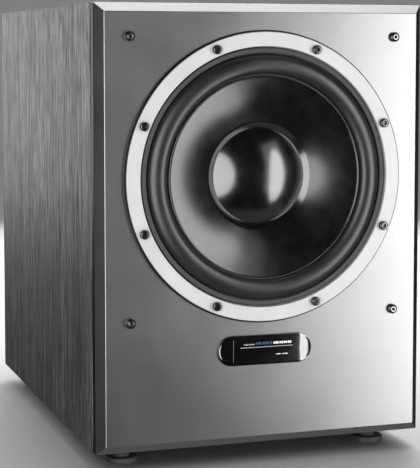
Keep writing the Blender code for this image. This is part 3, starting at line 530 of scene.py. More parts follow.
def prism(outline, bottom, top, rim=0.0004, under=0.0, steps=3):
    """An outline extruded along Z, with its top rim, and its bottom one where asked, rounded."""
    bm = bmesh.new()
    base = bm.faces.new([bm.verts.new((x, y, bottom)) for x, y in outline])
    made = bmesh.ops.extrude_face_region(bm, geom=[base])
    moved = [v for v in made["geom"] if isinstance(v, bmesh.types.BMVert)]
    bmesh.ops.translate(bm, verts=moved, vec=(0.0, 0.0, top - bottom))
    bmesh.ops.recalc_face_normals(bm, faces=bm.faces)
    for height, width in ((top, rim), (bottom, under)):
        if width > 0:
            bevel(bm, [e for e in bm.edges if all(abs(v.co.z - height) < 1e-7 for v in e.verts)], width, steps)
    return mesh_from(bm)


def block(low, high, edge=0.0004, steps=2):
    """A box between two corners with all its edges rounded."""
    bm = bmesh.new()
    cube(bm, [(a + b) / 2 for a, b in zip(low, high)], [b - a for a, b in zip(low, high)])
    bevel(bm, list(bm.edges), edge, steps)
    return mesh_from(bm)


def block_at(middle, half, edge):
    return block(middle - Vector(half), middle + Vector(half), edge)


def rod(radius, bottom, top, x=0.0, y=0.0, segments=32, rim=0.0002):
    points = [(0.0, top), (radius, top), (radius, bottom), (0.0, bottom)]
    return placed(turned(points, rim, 2, segments), shift(x, y))


def placed(mesh, matrix):
    mesh.transform(matrix)
    if matrix.determinant() < 0:
        mesh.flip_normals()
    return mesh


def merged(*meshes):
    """Several meshes as one, each kept as its own body."""
    bm = bmesh.new()
    for mesh in meshes:
        bm.from_mesh(mesh)
        bpy.data.meshes.remove(mesh)
    made = bpy.data.meshes.new("merged")
    bm.to_mesh(made)
    bm.free()
    return made


def evaluated(obj):
    """A copy of the object's mesh with its modifiers applied."""
    bpy.context.view_layer.update()
    return bpy.data.meshes.new_from_object(obj.evaluated_get(bpy.context.evaluated_depsgraph_get()))


def carved(mesh, *cutters, add=()):
    """A mesh joined to the added ones, then cut by the others."""
    base = linked("carved", mesh)
    helpers = [base]
    for operation, others in (("UNION", add), ("DIFFERENCE", cutters)):
        for other in others:
            helpers.append(linked("tool", other))
            boolean = base.modifiers.new("Boolean", "BOOLEAN")
            boolean.operation = operation
            boolean.object = helpers[-1]
            boolean.solver = "EXACT"
    made = evaluated(base)
    for helper in helpers:
        bpy.data.objects.remove(helper)
    return made


def piece(name, mesh, material, place, node=None, body="cabinet", angle=32.0, inside=None):
    """A finished piece. The inside test picks the faces that take a second material."""
    obj = linked(name, mesh)
    obj.matrix_world = place
    mesh.materials.clear()
    mesh.materials.append(M[material])
    if inside:
        mesh.materials.append(M[inside[0]])
        for face in mesh.polygons:
            face.material_index = int(inside[1](face))
    for face in mesh.polygons:
        face.use_smooth = True
    mesh.set_sharp_from_angle(angle=math.radians(angle))
    normals = obj.modifiers.new("Normals", "WEIGHTED_NORMAL")
    normals.keep_sharp = True
    if body:
        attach(obj, body)
    if node:
        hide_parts(node)
    return obj


# Cabinet

SCREW_PLACES = circle_points(SCREW_CIRCLE, 8, 22.5)
STUD_BOXES = [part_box(f"grille_stud_{number}") for number in range(1, 5)]
STUD_PLACES = [((low.x + high.x) / 2, (low.z + high.z) / 2 - AXIS_Z) for low, high in STUD_BOXES]


def make_baffle():
    """The baffle and its chamfers, cut for the driver, its screws and the studs."""
    bm = bmesh.new()
    middle = (0.0, (CHAMFER_DEPTH + BAFFLE_THICKNESS) / 2, HEIGHT / 2)
    cube(bm, middle, (WIDTH, BAFFLE_THICKNESS - CHAMFER_DEPTH, HEIGHT))
    front = min(bm.faces, key=lambda face: face.calc_center_median().y)
    bmesh.ops.inset_individual(bm, faces=[front], thickness=CHAMFER_WIDTH, depth=CHAMFER_DEPTH,
                               use_even_offset=True)
    bm.edges.ensure_lookup_table()
    bevel(bm, list(bm.edges), 0.0005, 3)
    mesh = mesh_from(bm)
    holes = [revolve([(0.0, 0.01), (0.1412, 0.01), (0.1412, -0.03), (0.0, -0.03)], 160)]
    holes += [rod(SCREW_HOLE, -0.03, 0.01, x, y, 16, 0.0) for x, y in SCREW_PLACES]
    holes += [rod(0.0042, -0.0123, 0.01, x, y, 24, 0.0) for x, y in STUD_PLACES]
    to_cabinet = CABINET.inverted() @ DRIVER
    mesh = carved(mesh, *(placed(hole, to_cabinet) for hole in holes))
    piece("baffle", mesh, "lacquer", CABINET, "front_baffle", angle=25.0)


def make_panels():
    """Boards with softened edges and a shadow groove where they meet the baffle."""
    front = BAFFLE_THICKNESS + GAP
    groove = 0.003
    radii = [0.0, 0.0002, 0.0, 0.0005, 0.001, 0.0004]
    inset = PANEL_THICKNESS + GAP
    half = WIDTH / 2
    for side, name in ((-1, "left"), (1, "right")):
        inner, outer, cut = side * (half - PANEL_THICKNESS), side * half, side * (half - groove)
        outline = [(inner, front), (cut, front), (cut, front + groove), (outer, front + groove), (outer, DEPTH),
                   (inner, DEPTH)]
        raw = ("board", lambda face, side=side: face.normal.x * side < -0.9)
        mesh = prism(rounded(outline, radii, 4), 0.0, HEIGHT, 0.0006, 0.0006)
        piece(f"{name}_side", mesh, "ash_sides", CABINET, f"{name}_side_panel", angle=25.0, inside=raw)
    reach = (WIDTH - 2 * inset) / 2
    upright = Matrix(((0, 0, 1, 0), (1, 0, 0, 0), (0, 1, 0, 0), (0, 0, 0, 1)))
    for name, outer, inner in (("top", HEIGHT, HEIGHT - PANEL_THICKNESS), ("bottom", 0.0, PANEL_THICKNESS)):
        sign = 1 if outer > inner else -1
        cut = outer - sign * groove
        outline = [(front, inner), (front, cut), (front + groove, cut), (front + groove, outer), (DEPTH, outer),
                   (DEPTH, inner)]
        mesh = placed(prism(rounded(outline, radii, 4), -reach, reach, 0.0003, 0.0003), upright)
        if name == "bottom":
            mesh = carved(mesh, rod(0.0033, 0.006, 0.028, 0.0, TRANSFORMER_DEPTH, 24, 0.0))
        raw = ("board", lambda face, sign=sign: face.normal.z * sign < -0.9)
        piece(f"{name}_board", mesh, "ash_level", CABINET, f"{name}_panel", angle=25.0, inside=raw)
    back = block((-reach, DEPTH - PANEL_THICKNESS, inset), (reach, DEPTH, HEIGHT - inset))
    hole = placed(prism(rectangle(0.226, 0.316, 0.004), -0.04, 0.04, 0.0), CABINET.inverted() @ REAR)
    piece("back_board", carved(back, hole), "ash_sides", CABINET, "back_panel", angle=25.0,
          inside=("board", lambda face: face.normal.y < -0.5))
    window = placed(prism(rectangle(0.24, 0.33, 0.06, 12), -0.02, 0.02, 0.0),
                    shift(0.0, 0.259, HEIGHT / 2) @ Matrix.Rotation(QUARTER, 4, "X"))
    brace = block((-reach + GAP, 0.25, inset + GAP), (reach - GAP, 0.268, HEIGHT - inset - GAP), 0.0006)
    piece("brace", carved(brace, window), "board", CABINET, "window_brace")


def make_wadding():
    """A soft blanket over the top and sides: a fine grid pushed in and out where nothing holds it."""
    thickness = 0.025
    near, far = 0.29, 0.47
    bottom = PANEL_THICKNESS + 2 * GAP
    x, top = WIDTH / 2 - bottom, HEIGHT - bottom
    in_x, in_top = x - thickness, top - thickness
    path = rounded([(-x, bottom), (-x, top), (x, top), (x, bottom)], 0.012, 6, closed=False)
    inner = rounded([(-in_x, bottom), (-in_x, in_top), (in_x, in_top), (in_x, bottom)], 0.022, 6, closed=False)
    mesh = prism(path + inner[::-1], -far, -near, 0.004, 0.004, 3)
    temp = linked("wadding_form", placed(mesh, Matrix.Rotation(QUARTER, 4, "X")))
    remesh = temp.modifiers.new("Remesh", "REMESH")
    remesh.mode = "VOXEL"
    remesh.voxel_size = 0.005
    made = evaluated(temp)
    bpy.data.objects.remove(temp)
    for vertex in made.vertices:
        place = vertex.co.copy()
        lump = noise.noise(place * 38.0) * 0.0035 + noise.noise(place * 120.0) * 0.0012 - 0.003
        inward = Vector((-place.x, 0.0, HEIGHT / 2 - place.z)).normalized()
        facing = vertex.normal.dot(inward)
        vertex.co = place + vertex.normal * (lump if facing > -0.2 else 0.2 * min(lump, 0.0))
    blanket = piece("wadding_blanket", made, "wadding", CABINET, "damping_wadding", angle=180.0)


def make_feet():
    for number in range(1, 5):
        low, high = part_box(f"foot_{number}")
        place = shift((low.x + high.x) / 2, (low.y + high.y) / 2)
        profile = [(0.0, high.z), (0.0095, high.z), (0.0095, 0.006), (0.0175, 0.006), (0.0175, 0.0),
                   (0.0055, 0.0), (0.0055, 0.004), (0.0, 0.004)]
        rubber = turned(profile, [0.0, 0.0004, 0.0012, 0.0012, 0.0014, 0.0006, 0.0, 0.0], 4, 64)
        piece(f"foot_{number}_rubber", rubber, "foot", place, f"foot_{number}")
        screw = turned([(0.0, 0.0016), (0.0036, 0.0016), (0.005, 0.0038), (0.0, 0.0038)], 0.0003, 2, 32)
        cross = cross_mesh(0.0042, 0.0009, 0.001, 0.003)
        piece(f"foot_screw_{number}", carved(screw, cross), "zinc", place)


# Driver


def cone_height(radius):
    """Height of the cone's front. Outside the dome it is straighter than the CAD's, by up to 1.8 mm."""
    along = (CONE_RIM - radius) / (CONE_RIM - CONE_WAIST)
    share = CONE_FACE_SHARE if along < 1 else CONE_RIM_SHARE
    return CONE_RIM_HEIGHT - CONE_WAIST_DEPTH * (share * along + (1 - share) * along**2)


def cross_mesh(length, width, bottom, top):
    """A cross-shaped recess cutter."""
    first, second = (prism(rectangle(x, y, width * 0.2, 2), bottom, top, 0.0)
                     for x, y in ((length, width), (width, length)))
    return carved(first, add=[second])


def make_basket():
    """The frame: its ring and ledge, the spider's shelf, six legs, and a dark seal round the ring, which is
    partly a mounting gasket and partly painted shade for the ring's shadow on the baffle.
    """
    rim = [(RING_INNER, RING_PROUD), (RING_OUTER, RING_PROUD), (RING_OUTER, GAP), (BASKET_RADIUS, GAP),
           (BASKET_RADIUS, LEDGE_BOTTOM), (LEDGE_INNER, LEDGE_BOTTOM), (LEDGE_INNER, LEDGE_TOP),
           (RING_INNER, LEDGE_TOP)]
    ring = turned(rim, [0.0006, 0.0009, 0.0002, 0.0, 0.0008, 0.0008, 0.0005, 0.0], 4, 192, True)
    shelf_top = SPIDER_HEIGHT - SPIDER_WALL - GAP
    seat_top = MAGNET_SEAT + 0.005
    hub = [(SHELF_INNER, shelf_top), (SHELF_OUTER, shelf_top), (SHELF_OUTER, MAGNET_SEAT), (0.05, MAGNET_SEAT),
           (0.05, seat_top), (SHELF_INNER, seat_top)]
    hub_ring = turned(hub, [0.0008, 0.0008, 0.001, 0.0005, 0.0005, 0.0015], 3, 128, True)
    leg_out, leg_in = BASKET_RADIUS - 0.001, SHELF_INNER + 0.004
    leg_top, leg_bottom = LEDGE_BOTTOM + 0.004, MAGNET_SEAT + 0.001
    leg = [(leg_out, leg_top), (leg_out, leg_top - 0.014), (SHELF_OUTER - 0.002, leg_bottom),
           (leg_in, leg_bottom), (leg_in, shelf_top - 0.001), (LEDGE_INNER + 0.002, leg_top)]
    leg = rounded(leg, [0.0, 0.006, 0.003, 0.0, 0.002, 0.0], 5)
    legs = []
    for number in range(BASKET_LEGS):
        turn = Matrix.Rotation(2 * math.pi * number / BASKET_LEGS, 4, "Z") @ Matrix.Rotation(QUARTER, 4, "X")
        legs.append(placed(prism(leg, -0.008, 0.008, 0.0015, 0.0015), turn))
    holes = [rod(SCREW_HOLE, -0.001, 0.01, x, y, 20, 0.0) for x, y in SCREW_PLACES]
    piece("basket", carved(ring, *holes, add=[hub_ring, *legs]), "cast", DRIVER, "driver_basket")
    # Painted shade: the black seal widens the dark edge round the ring and stands in for the shadow that the
    # proud ring casts on the baffle.
    near = RING_OUTER + 0.0001
    shadow_seal = [(near, GAP), (RING_OUTER + 0.002, GAP), (RING_OUTER + 0.0019, 0.0011),
            (RING_OUTER + 0.0007, 0.0038), (near, 0.0038)]
    piece("frame_painted_shadow_ring", turned(shadow_seal, [0.0, 0.0002, 0.0004, 0.0003, 0.0], 3, 192, True), "black_steel", DRIVER)


def make_moving_parts():
    """The cone, the dust cap, and the voice coil on its former."""
    cone = [(r, cone_height(r)) for r in spread(CONE_NECK, CONE_RIM - 0.0016, 40)]
    edge = cone_height(CONE_RIM)
    cone += [(CONE_RIM - 0.0012, edge), (CONE_RIM - 0.0008, edge + 0.0003), (CONE_RIM - 0.0003, edge + 0.0003),
             (CONE_RIM, edge - 0.0001)]
    moving = [("cone_body", revolve(shell(cone, CONE_WALL - 0.0003), 192, closed=True), "cone", "cone", 60.0)]
    rise = GAP + CAP_WALL + 0.0002
    lip = [(r, cone_height(r) + rise) for r in spread(CAP_DOME_RADIUS, CONE_WAIST, 6)]
    dome = []
    for r in spread(0.0, CAP_DOME_RADIUS, 36)[:-1]:
        dome.append((r, lip[0][1] + CAP_DOME_HEIGHT * (1 - (r / CAP_DOME_RADIUS) ** 2)))
    moving.append(("dome", revolve(shell(dome + lip, CAP_WALL), 192), "dome", "dust_cap", 60.0))
    former = turned(band(0.0374, FORMER_RADIUS, -0.03, -0.077), 0.0001, 2, 96, True)
    moving.append(("former_tube", former, "former", "voice_coil_former", 32.0))
    winding = turned(band(0.0383, 0.0391, -0.056, -0.076), 0.0002, 2, 96, True)
    moving.append(("coil_winding", winding, "copper", "voice_coil_winding", 32.0))
    for name, mesh, material, node, angle in moving:
        piece(name, mesh, material, DRIVER, node, "cone_assembly", angle)


def blend_by_radius(obj, fixed, moving):
    """Bakes the piece's placement and works out per-vertex weights, from the cabinet outside the fixed radius
    to the cone inside the moving one; nothing keeps the weights, so the piece follows neither.
    """
    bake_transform(obj)
    weights = np.zeros(len(obj.data.vertices), np.float32)
    for vertex in obj.data.vertices:
        radius = math.hypot(vertex.co.x, vertex.co.z - AXIS_Z)
        share = min(max((fixed - radius) / (fixed - moving), 0.0), 1.0)
        weights[vertex.index] = share * share * (3 - 2 * share)


def make_suspension():
    """The surround, its landing gasket and the spider."""
    under = CONE_WALL + GAP + 0.0002
    foot = cone_height(CONE_RIM) - under
    lip = [(r, cone_height(r) - under) for r in spread(CONE_RIM - 0.006, CONE_RIM, 4)]
    middle = (ROLL_OUTER + ROLL_INNER) / 2
    half = (ROLL_OUTER - ROLL_INNER) / 2
    roll = []
    for angle in spread(math.pi, 0.0, 40):
        ground = foot + (SURROUND_LAND - foot) * (1 - math.cos(math.pi - angle)) / 2
        roll.append((middle + half * math.cos(angle), ground + ROLL_HEIGHT * math.sin(angle)))
    line = rounded(lip + roll + [(RING_INNER - 2 * GAP, SURROUND_LAND)], 0.0, 1, closed=False)
    surround = revolve(shell(line, SURROUND_WALL), 192, closed=True)
    surround = piece("surround_roll", surround, "rubber", DRIVER, "surround", None, 70.0)
    blend_by_radius(surround, ROLL_OUTER, ROLL_INNER)
    gasket = turned(band(RING_INNER - 0.0018, 0.1332, 0.0026, SURROUND_LAND + GAP),
                    [0.001, 0.0006, 0.0002, 0.0002], 5, 192, True)
    piece("gasket", gasket, "foam", DRIVER, "driver_gasket")
    start = FORMER_RADIUS + GAP + 0.0003
    waves = []
    for r in spread(start, SPIDER_LAND, 60):
        turns = SPIDER_WAVES * (r - start) / (SPIDER_LAND - start)
        waves.append((r, SPIDER_HEIGHT + SPIDER_WAVE_HEIGHT * math.sin(2 * math.pi * turns)))
    spider = revolve(shell(waves + [(SPIDER_OUTER, SPIDER_HEIGHT)], SPIDER_WALL), 160, closed=True)
    spider = piece("spider_disc", spider, "spider", DRIVER, "spider", None, 70.0)
    blend_by_radius(spider, SPIDER_LAND, start + 0.001)


def make_motor():
    """The magnet between its two plates, and the terminal strip on the spider's shelf."""
    top = MAGNET_SEAT - GAP
    plate = turned(band(0.04, 0.075, top, top - 0.008), 0.0008, 3, 128, True)
    piece("top_plate", plate, "zinc", DRIVER, "magnet_top_plate")
    magnet_top = top - 0.008 - GAP
    magnet = turned(band(0.045, 0.085, magnet_top, magnet_top - 0.02), 0.0012, 3, 128, True)
    piece("magnet", magnet, "ferrite", DRIVER, "magnet_ring")
    plate_top = magnet_top - 0.02 - GAP
    yoke = [(0.0, top), (0.0368, top), (0.0368, plate_top), (0.08, plate_top), (0.08, plate_top - 0.008),
            (0.0, plate_top - 0.008)]
    piece("yoke", turned(yoke, [0.0, 0.0008, 0.0004, 0.0008, 0.0016, 0.0], 3, 128), "zinc", DRIVER, "pole_yoke")
    centre = Vector((0.0, -SHELF_OUTER - 0.004, SPIDER_HEIGHT - 0.01))
    strip = block_at(centre, (0.017, 0.003, 0.007), 0.0006)
    piece("terminal_block", strip, "plastic", DRIVER, "terminal_strip")
    tabs = [block_at(centre + Vector((x, -0.006, 0.0)), (0.0024, 0.005, 0.0005), 0.0003) for x in (-0.01, 0.01)]
    piece("terminal_tabs", merged(*tabs), "brass", DRIVER)


def make_driver_screws():
    under = RING_PROUD + GAP
    top = under + 0.0042
    tip = under - 0.021
    profile = [(0.0, top), (0.005, top), (0.005, under), (0.0026, under), (0.0026, tip), (0.0, tip)]
    for number, (x, y) in enumerate(SCREW_PLACES, 1):
        hexagon = circle_points(0.0026, 6, 37 * number)
        screw = turned(profile, [0.0, 0.0017, 0.0002, 0.0, 0.0005, 0.0], 8, 64)
        screw = carved(screw, prism(hexagon, top - 0.0026, top + 0.002, 0.0))
        piece(f"screw_{number}", screw, "screw", DRIVER @ shift(x, y), f"driver_screw_{number}")


# Front fittings


def make_studs():
    """Black plastic studs for the grille, each with a small steel eyelet in its mouth."""
    top = 0.0046
    profile = [(0.0, top - 0.003), (0.0016, top - 0.003), (0.0016, top), (0.0034, top), (0.00525, top - 0.0014),
               (0.00525, GAP), (0.0039, GAP), (0.0039, -0.012), (0.0, -0.012)]
    radii = [0.0, 0.0003, 0.0004, 0.0006, 0.0006, 0.0003, 0.0002, 0.0006, 0.0]
    for number, (x, y) in enumerate(STUD_PLACES, 1):
        place = DRIVER @ shift(x, y)
        piece(f"stud_{number}", turned(profile, radii, 4, 64), "stud", place, f"grille_stud_{number}")
        eyelet = turned(band(0.0016, 0.0031, top + 0.0002, top - 0.0006), 0.0003, 3, 48, True)
        piece(f"stud_eyelet_{number}", eyelet, "eyelet", place)


def badge_mesh(length, width, bottom, top, flat_half):
    """An oblong pad: rounded down to its rim all round, and sloping away past the flat middle."""
    radius = width / 2
    middle = length / 2 - radius
    outline = []
    for side in (1, -1):
        outline += arc(side * middle, 0.0, radius, -90 * side, 180 - 90 * side, 40)[:-1]
        outline += [(x, side * radius) for x in spread(side * middle, -side * middle, 24)][:-1]
    rim_width, rim_drop, slope_reach, slope_fall = 0.0028, 0.0008, 0.012, 0.00152
    bm = bmesh.new()
    rings = []
    edge = rim_width / radius
    shares = spread(0.0, 1 - edge, 6) + [1 - edge * (1 - t) ** 1.5 for t in spread(0.0, 1.0, 10)[1:]]
    for share in shares:
        ring = []
        for x, y in outline:
            spine = max(-middle, min(middle, x))
            px, py = spine + (x - spine) * share, y * share
            inward = max(0.0, rim_width - radius * (1 - share)) / rim_width
            drop = rim_drop * (1 - math.sqrt(max(0.0, 1 - inward * inward)))
            past = max(0.0, abs(px) - flat_half)
            fall = slope_fall * (1 - math.cos(math.pi * min(past / slope_reach, 1.0))) / 2
            ring.append(bm.verts.new((px, py, max(top - drop - fall * (1 - 0.5 * inward), bottom + 0.0002))))
        rings.append(ring)
    rings.append([bm.verts.new((x, y, bottom)) for x, y in outline])
    join_rings(bm, rings)
    bm.faces.new(rings[-1])
    bmesh.ops.remove_doubles(bm, verts=bm.verts, dist=0.0000002)
    bmesh.ops.dissolve_degenerate(bm, edges=bm.edges, dist=0.0000002)
    return mesh_from(bm)


def make_badge():
    """A gloss oblong with sloping round ends, a raised label plate, and plain printed bars on it."""
    low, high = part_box("badge_body")
    place = DRIVER @ shift(0.0, (low.z + high.z) / 2 - AXIS_Z)
    label_low, label_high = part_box("badge_label")
    half_x, half_y = (label_high.x - label_low.x) / 2, (label_high.z - label_low.z) / 2
    pad = badge_mesh(high.x - low.x, high.z - low.z, GAP, FRONT_Y - low.y, half_x + 0.0015)
    piece("badge", pad, "gloss", place, "badge_body", angle=50.0)
    label_top = FRONT_Y - label_low.y
    label = prism(rectangle(2 * half_x, 2 * half_y, 0.0008, 4), FRONT_Y - label_high.y, label_top, 0.0004)
    piece("badge_plate", label, "gloss", place, "badge_label")
    make_label_bars(place, label_top)


def dashes(start, end, y, height, count):
    """A row of short marks of uneven width, as small print looks from a distance."""
    step = (end - start) / count
    row = []
    for number in range(count):
        width = step * (0.62, 0.8, 0.55, 0.72)[number % 4]
        row.append((start + step * number + width / 2, y, width, height * (0.78, 1.0, 0.86)[number % 3]))
    return row


def make_label_bars(place, top):
    """Rows of plain dashes stand for the printing: three on one line, a rule under them and two small ones."""
    groups = (
        ("grey", "grey", dashes(-0.0252, -0.0128, 0.0066, 0.0014, 6) + [(0.001, 0.0034, 0.0598, 0.0006)]),
        ("blue", "blue", dashes(-0.0115, 0.0075, 0.0074, 0.0034, 8)),
        ("white", "print", dashes(0.0087, 0.0301, 0.0073, 0.0028, 9)
         + dashes(0.0118, 0.0182, -0.0053, 0.0011, 3) + dashes(0.019, 0.0262, -0.0053, 0.0011, 3)),
    )
    for name, material, bars in groups:
        meshes = [prism(rectangle(w, h, min(w, h) * 0.2, 2, x, y), top - 0.0001, top + 0.00004, 0.0)
                  for x, y, w, h in bars]
        piece(f"label_bar_{name}", merged(*meshes), material, place)


# Amplifier


def screw_head(radius=0.0032, height=0.0018):
    """A domed cross-recessed screw head standing on z = 0."""
    dome = [(0.0, height)]
    dome += [(radius * x, height * (0.35 + 0.65 * y)) for x, y in arc(0.0, 0.0, 1.0, 90, 0, 10)[1:]]
    dome += [(radius, 0.0), (0.0, 0.0)]
    return carved(revolve(dome, 40), cross_mesh(radius * 1.15, radius * 0.26, height * 0.35, height * 2))


def tick(centre, angle, bottom, top):
    """A print mark outside a knob, at this angle from the top, clockwise."""
    inner, outer = 0.0115, 0.014
    mark = prism(rectangle(0.0005, outer - inner, 0.0, 1, 0.0, (inner + outer) / 2), bottom, top, 0.0)
    return placed(mark, shift(*centre) @ Matrix.Rotation(-math.radians(angle), 4, "Z"))


def make_plate():
    """The amplifier plate with its openings, its screws and the marks printed on it."""
    width, height = PLATE_SIZE
    plate = prism(rectangle(width, height, 0.006, 10), GAP, PLATE_FACE, 0.0005, 0.0002)
    low, high = -0.002, 0.006
    holes = [rod(0.0045, low, high, x, y, 48, 0.0) for x, y in KNOB_CENTRES.values()]
    holes += [rod(0.0121, low, high, x, y, 64, 0.0) for x, y in XLR_CENTRES.values()]
    windows = ((0.012, 0.007, 0.0004, 2, PHASE_CENTRE), (0.027, 0.019, 0.001, 3, POWER_CENTRE),
               (0.036, 0.05, 0.002, 3, INLET_CENTRE))
    holes += [prism(rectangle(*size, *centre), low, high, 0.0) for *size, centre in windows]
    piece("rear_plate", carved(plate, *holes), "anodised", REAR, "amplifier_plate")
    inset = 0.0062
    x, y = width / 2 - inset, height / 2 - inset
    places = [(side * x, up) for side in (-1, 1) for up in spread(-y, y, 4)]
    places += [(across, side * y) for side in (-1, 1) for across in (-0.04, 0.04)]
    for number, (x, y) in enumerate(places, 1):
        place = REAR @ shift(x, y, PLATE_FACE) @ Matrix.Rotation(number * 1.3, 4, "Z")
        piece(f"plate_screw_{number}", screw_head(), "black_steel", place)
    bottom, top = PLATE_FACE - 0.00005, PLATE_FACE + 0.00006
    marks = [tick(centre, angle, bottom, top) for centre in KNOB_CENTRES.values()
             for angle in spread(-150, 150, 10)]
    x, y = PHASE_CENTRE
    marks += [prism(rectangle(0.0005, 0.0022, 0.0, 1, x + offset, y + 0.0062), bottom, top, 0.0)
              for offset in (-0.0025, 0.0025)]
    x = (XLR_CENTRES["left_input"][0] + XLR_CENTRES["right_input"][0]) / 2
    for y in (XLR_CENTRES["left_input"][1], XLR_CENTRES["left_output"][1]):
        outer = prism(rectangle(0.084, 0.04, 0.003, 4, x, y), bottom, top, 0.0)
        inner = prism(rectangle(0.0832, 0.0392, 0.0026, 4, x, y), bottom - 0.001, top + 0.001, 0.0)
        marks.append(carved(outer, inner))
    piece("plate_marks", merged(*marks), "print", REAR)


def make_heatsink():
    """An extruded block of upright fins with rounded roots and tips."""
    width, height = 0.2, 0.13
    count, fin = 17, 0.0024
    pitch = (width - fin) / (count - 1)
    root, tip = PLATE_OUTER + 0.005, PLATE_OUTER + 0.022
    corners = [(-width / 2, PLATE_OUTER, 0.0003)]
    for number in range(count):
        left = -width / 2 + number * pitch
        if number:
            corners.append((left, root, 0.0012))
        corners += [(left, tip, 0.001), (left + fin, tip, 0.001)]
        if number < count - 1:
            corners.append((left + fin, root, 0.0012))
    corners.append((width / 2, PLATE_OUTER, 0.0003))
    outline = rounded([(x, y) for x, y, _ in corners], [radius for _, _, radius in corners], 4)
    to_rear = Matrix(((1, 0, 0, 0), (0, 0, 1, 0.085), (0, 1, 0, 0), (0, 0, 0, 1)))
    mesh = placed(prism(outline, -height / 2, height / 2, 0.0003, 0.0003, 2), to_rear)
    piece("fin_block", mesh, "extruded", REAR, "heatsink")


def make_controls():
    """The gain and crossover controls: a body behind the plate, its turning shaft and a knob."""
    bush_top = PLATE_FACE + 0.001
    shaft_top = bush_top + 0.011
    for name, (x, y) in KNOB_CENTRES.items():
        place = REAR @ shift(x, y)
        body = [(0.0033, bush_top), (0.0042, bush_top), (0.0042, -GAP), (0.0085, -GAP), (0.0085, -GAP - 0.01),
                (0.0033, -GAP - 0.01)]
        body = turned(body, [0.0003, 0.0003, 0.0, 0.0006, 0.0006, 0.0], 3, 64, True)
        piece(f"{name}_pot", body, "plastic", place, f"{name}_potentiometer")
        shaft = turned([(0.0, shaft_top), (0.003, shaft_top), (0.003, -0.018), (0.0, -0.018)], 0.0003, 2, 48)
        piece(f"{name}_spindle", shaft, "nickel", place, f"{name}_shaft", f"{name}_control")
        make_knob(name, place, bush_top + 0.001, shaft_top)


def make_knob(name, place, bottom, shaft_top):
    """A fluted knob with a flat skirt and a white pointer line let into its top and side."""
    top = bottom + 0.014
    radius = 0.0085
    roof = shaft_top + GAP
    profile = [(0.0, top), (radius - 0.0016, top), (radius - 0.0003, top - 0.0012), (radius, bottom + 0.0024),
               (0.0095, bottom + 0.0016), (0.0095, bottom), (0.0033, bottom), (0.0033, roof), (0.0, roof)]
    profile = rounded(profile, [0.0, 0.0006, 0.0006, 0.0005, 0.0004, 0.0003, 0.0, 0.0, 0.0], 4, closed=False)
    flutes = 24

    def fluted(angle, reach, height):
        on_side = reach > 0.007 and bottom + 0.002 < height < top - 0.0002
        if not on_side or abs(math.remainder(angle - QUARTER, 2 * math.pi)) < 0.16:
            return 1.0
        return 1.0 - 0.045 * max(0.0, math.cos(flutes * angle)) ** 0.6

    slot = block((-0.0007, 0.0012, top - 0.0006), (0.0007, radius + 0.002, top + 0.001), 0.00005)
    line = block((-0.00065, 0.00125, top - 0.0007), (0.00065, radius - 0.001, top - 0.00015), 0.00005)
    dial = carved(revolve(profile, 240, wobble=fluted), slot)
    piece(f"{name}_dial", dial, "plastic", place, f"{name}_knob", f"{name}_control", 40.0)
    piece(f"{name}_pointer", line, "white", place, body=f"{name}_control")


def make_phase_switch():
    """The box of the phase switch, and its ribbed slider."""
    home = shift(*PHASE_CENTRE)
    top = PLATE_FACE
    body = block((-0.0055, -0.003, -0.009), (0.0055, 0.003, top), 0.0003)
    slot = block((-0.0051, -0.0023, top - 0.002), (0.0051, 0.0023, top + 0.002), 0.0001)
    piece("phase_body", placed(carved(body, slot), home), "plastic", REAR, "phase_switch")
    bottom = top - 0.002 + GAP
    slider = block((-0.0048, -0.002, bottom), (-0.0002, 0.002, bottom + 0.004), 0.0003)
    ribs = [block((x, -0.0021, bottom + 0.0036), (x + 0.0004, 0.0021, bottom + 0.005), 0.00005)
            for x in (-0.0038, -0.0027, -0.0016)]
    piece("phase_tab", placed(carved(slider, *ribs), home), "white", REAR, "phase_slider", "phase_selector")


def make_power_switch():
    """The power switch's housing, and a rocker that lies across the plate, tipped to its rest position."""
    home = shift(*POWER_CENTRE)
    top = PLATE_OUTER
    flange = prism(rectangle(0.03, 0.022, 0.0015, 4), top, top + 0.002, 0.0005)
    barrel = block((-0.0132, -0.0092, top - 0.023), (0.0132, 0.0092, top + 0.001))
    cavity = prism(rectangle(0.022, 0.014, 0.0006, 3), top - 0.011, top + 0.003, 0.0)
    housing = placed(carved(flange, cavity, add=[barrel]), home)
    piece("switch_housing", housing, "plastic", REAR, "power_switch_housing")
    face = [(0.01, 0.0047), (0.0075, 0.0041), (0.004, 0.0034)]
    outline = face + [(0.0, 0.003)] + [(-x, y) for x, y in face[::-1]]
    outline += [(-0.009, -0.0005), (0.0, -0.002), (0.009, -0.0005)]
    rocker = prism(rounded(outline, 0.0005, 3), -0.0065, 0.0065, 0.0003, 0.0003)
    tipped = Matrix.Rotation(math.radians(9), 4, "Y") @ Matrix.Rotation(QUARTER, 4, "X")
    pivot = REAR @ home @ shift(0.0, 0.0, top - 0.001)
    piece("rocker", rocker, "plastic", pivot @ tipped, "power_rocker", "power_button")


def inlet_outline(width, height):
    x, y, corner = width / 2, height / 2, 0.004
    points = [(-x, -y), (x, -y), (x, y - corner), (x - corner, y), (-x + corner, y), (-x, y - corner)]
    return [(px, py + MOUTH_UP) for px, py in rounded(points, 0.0008, 3)]


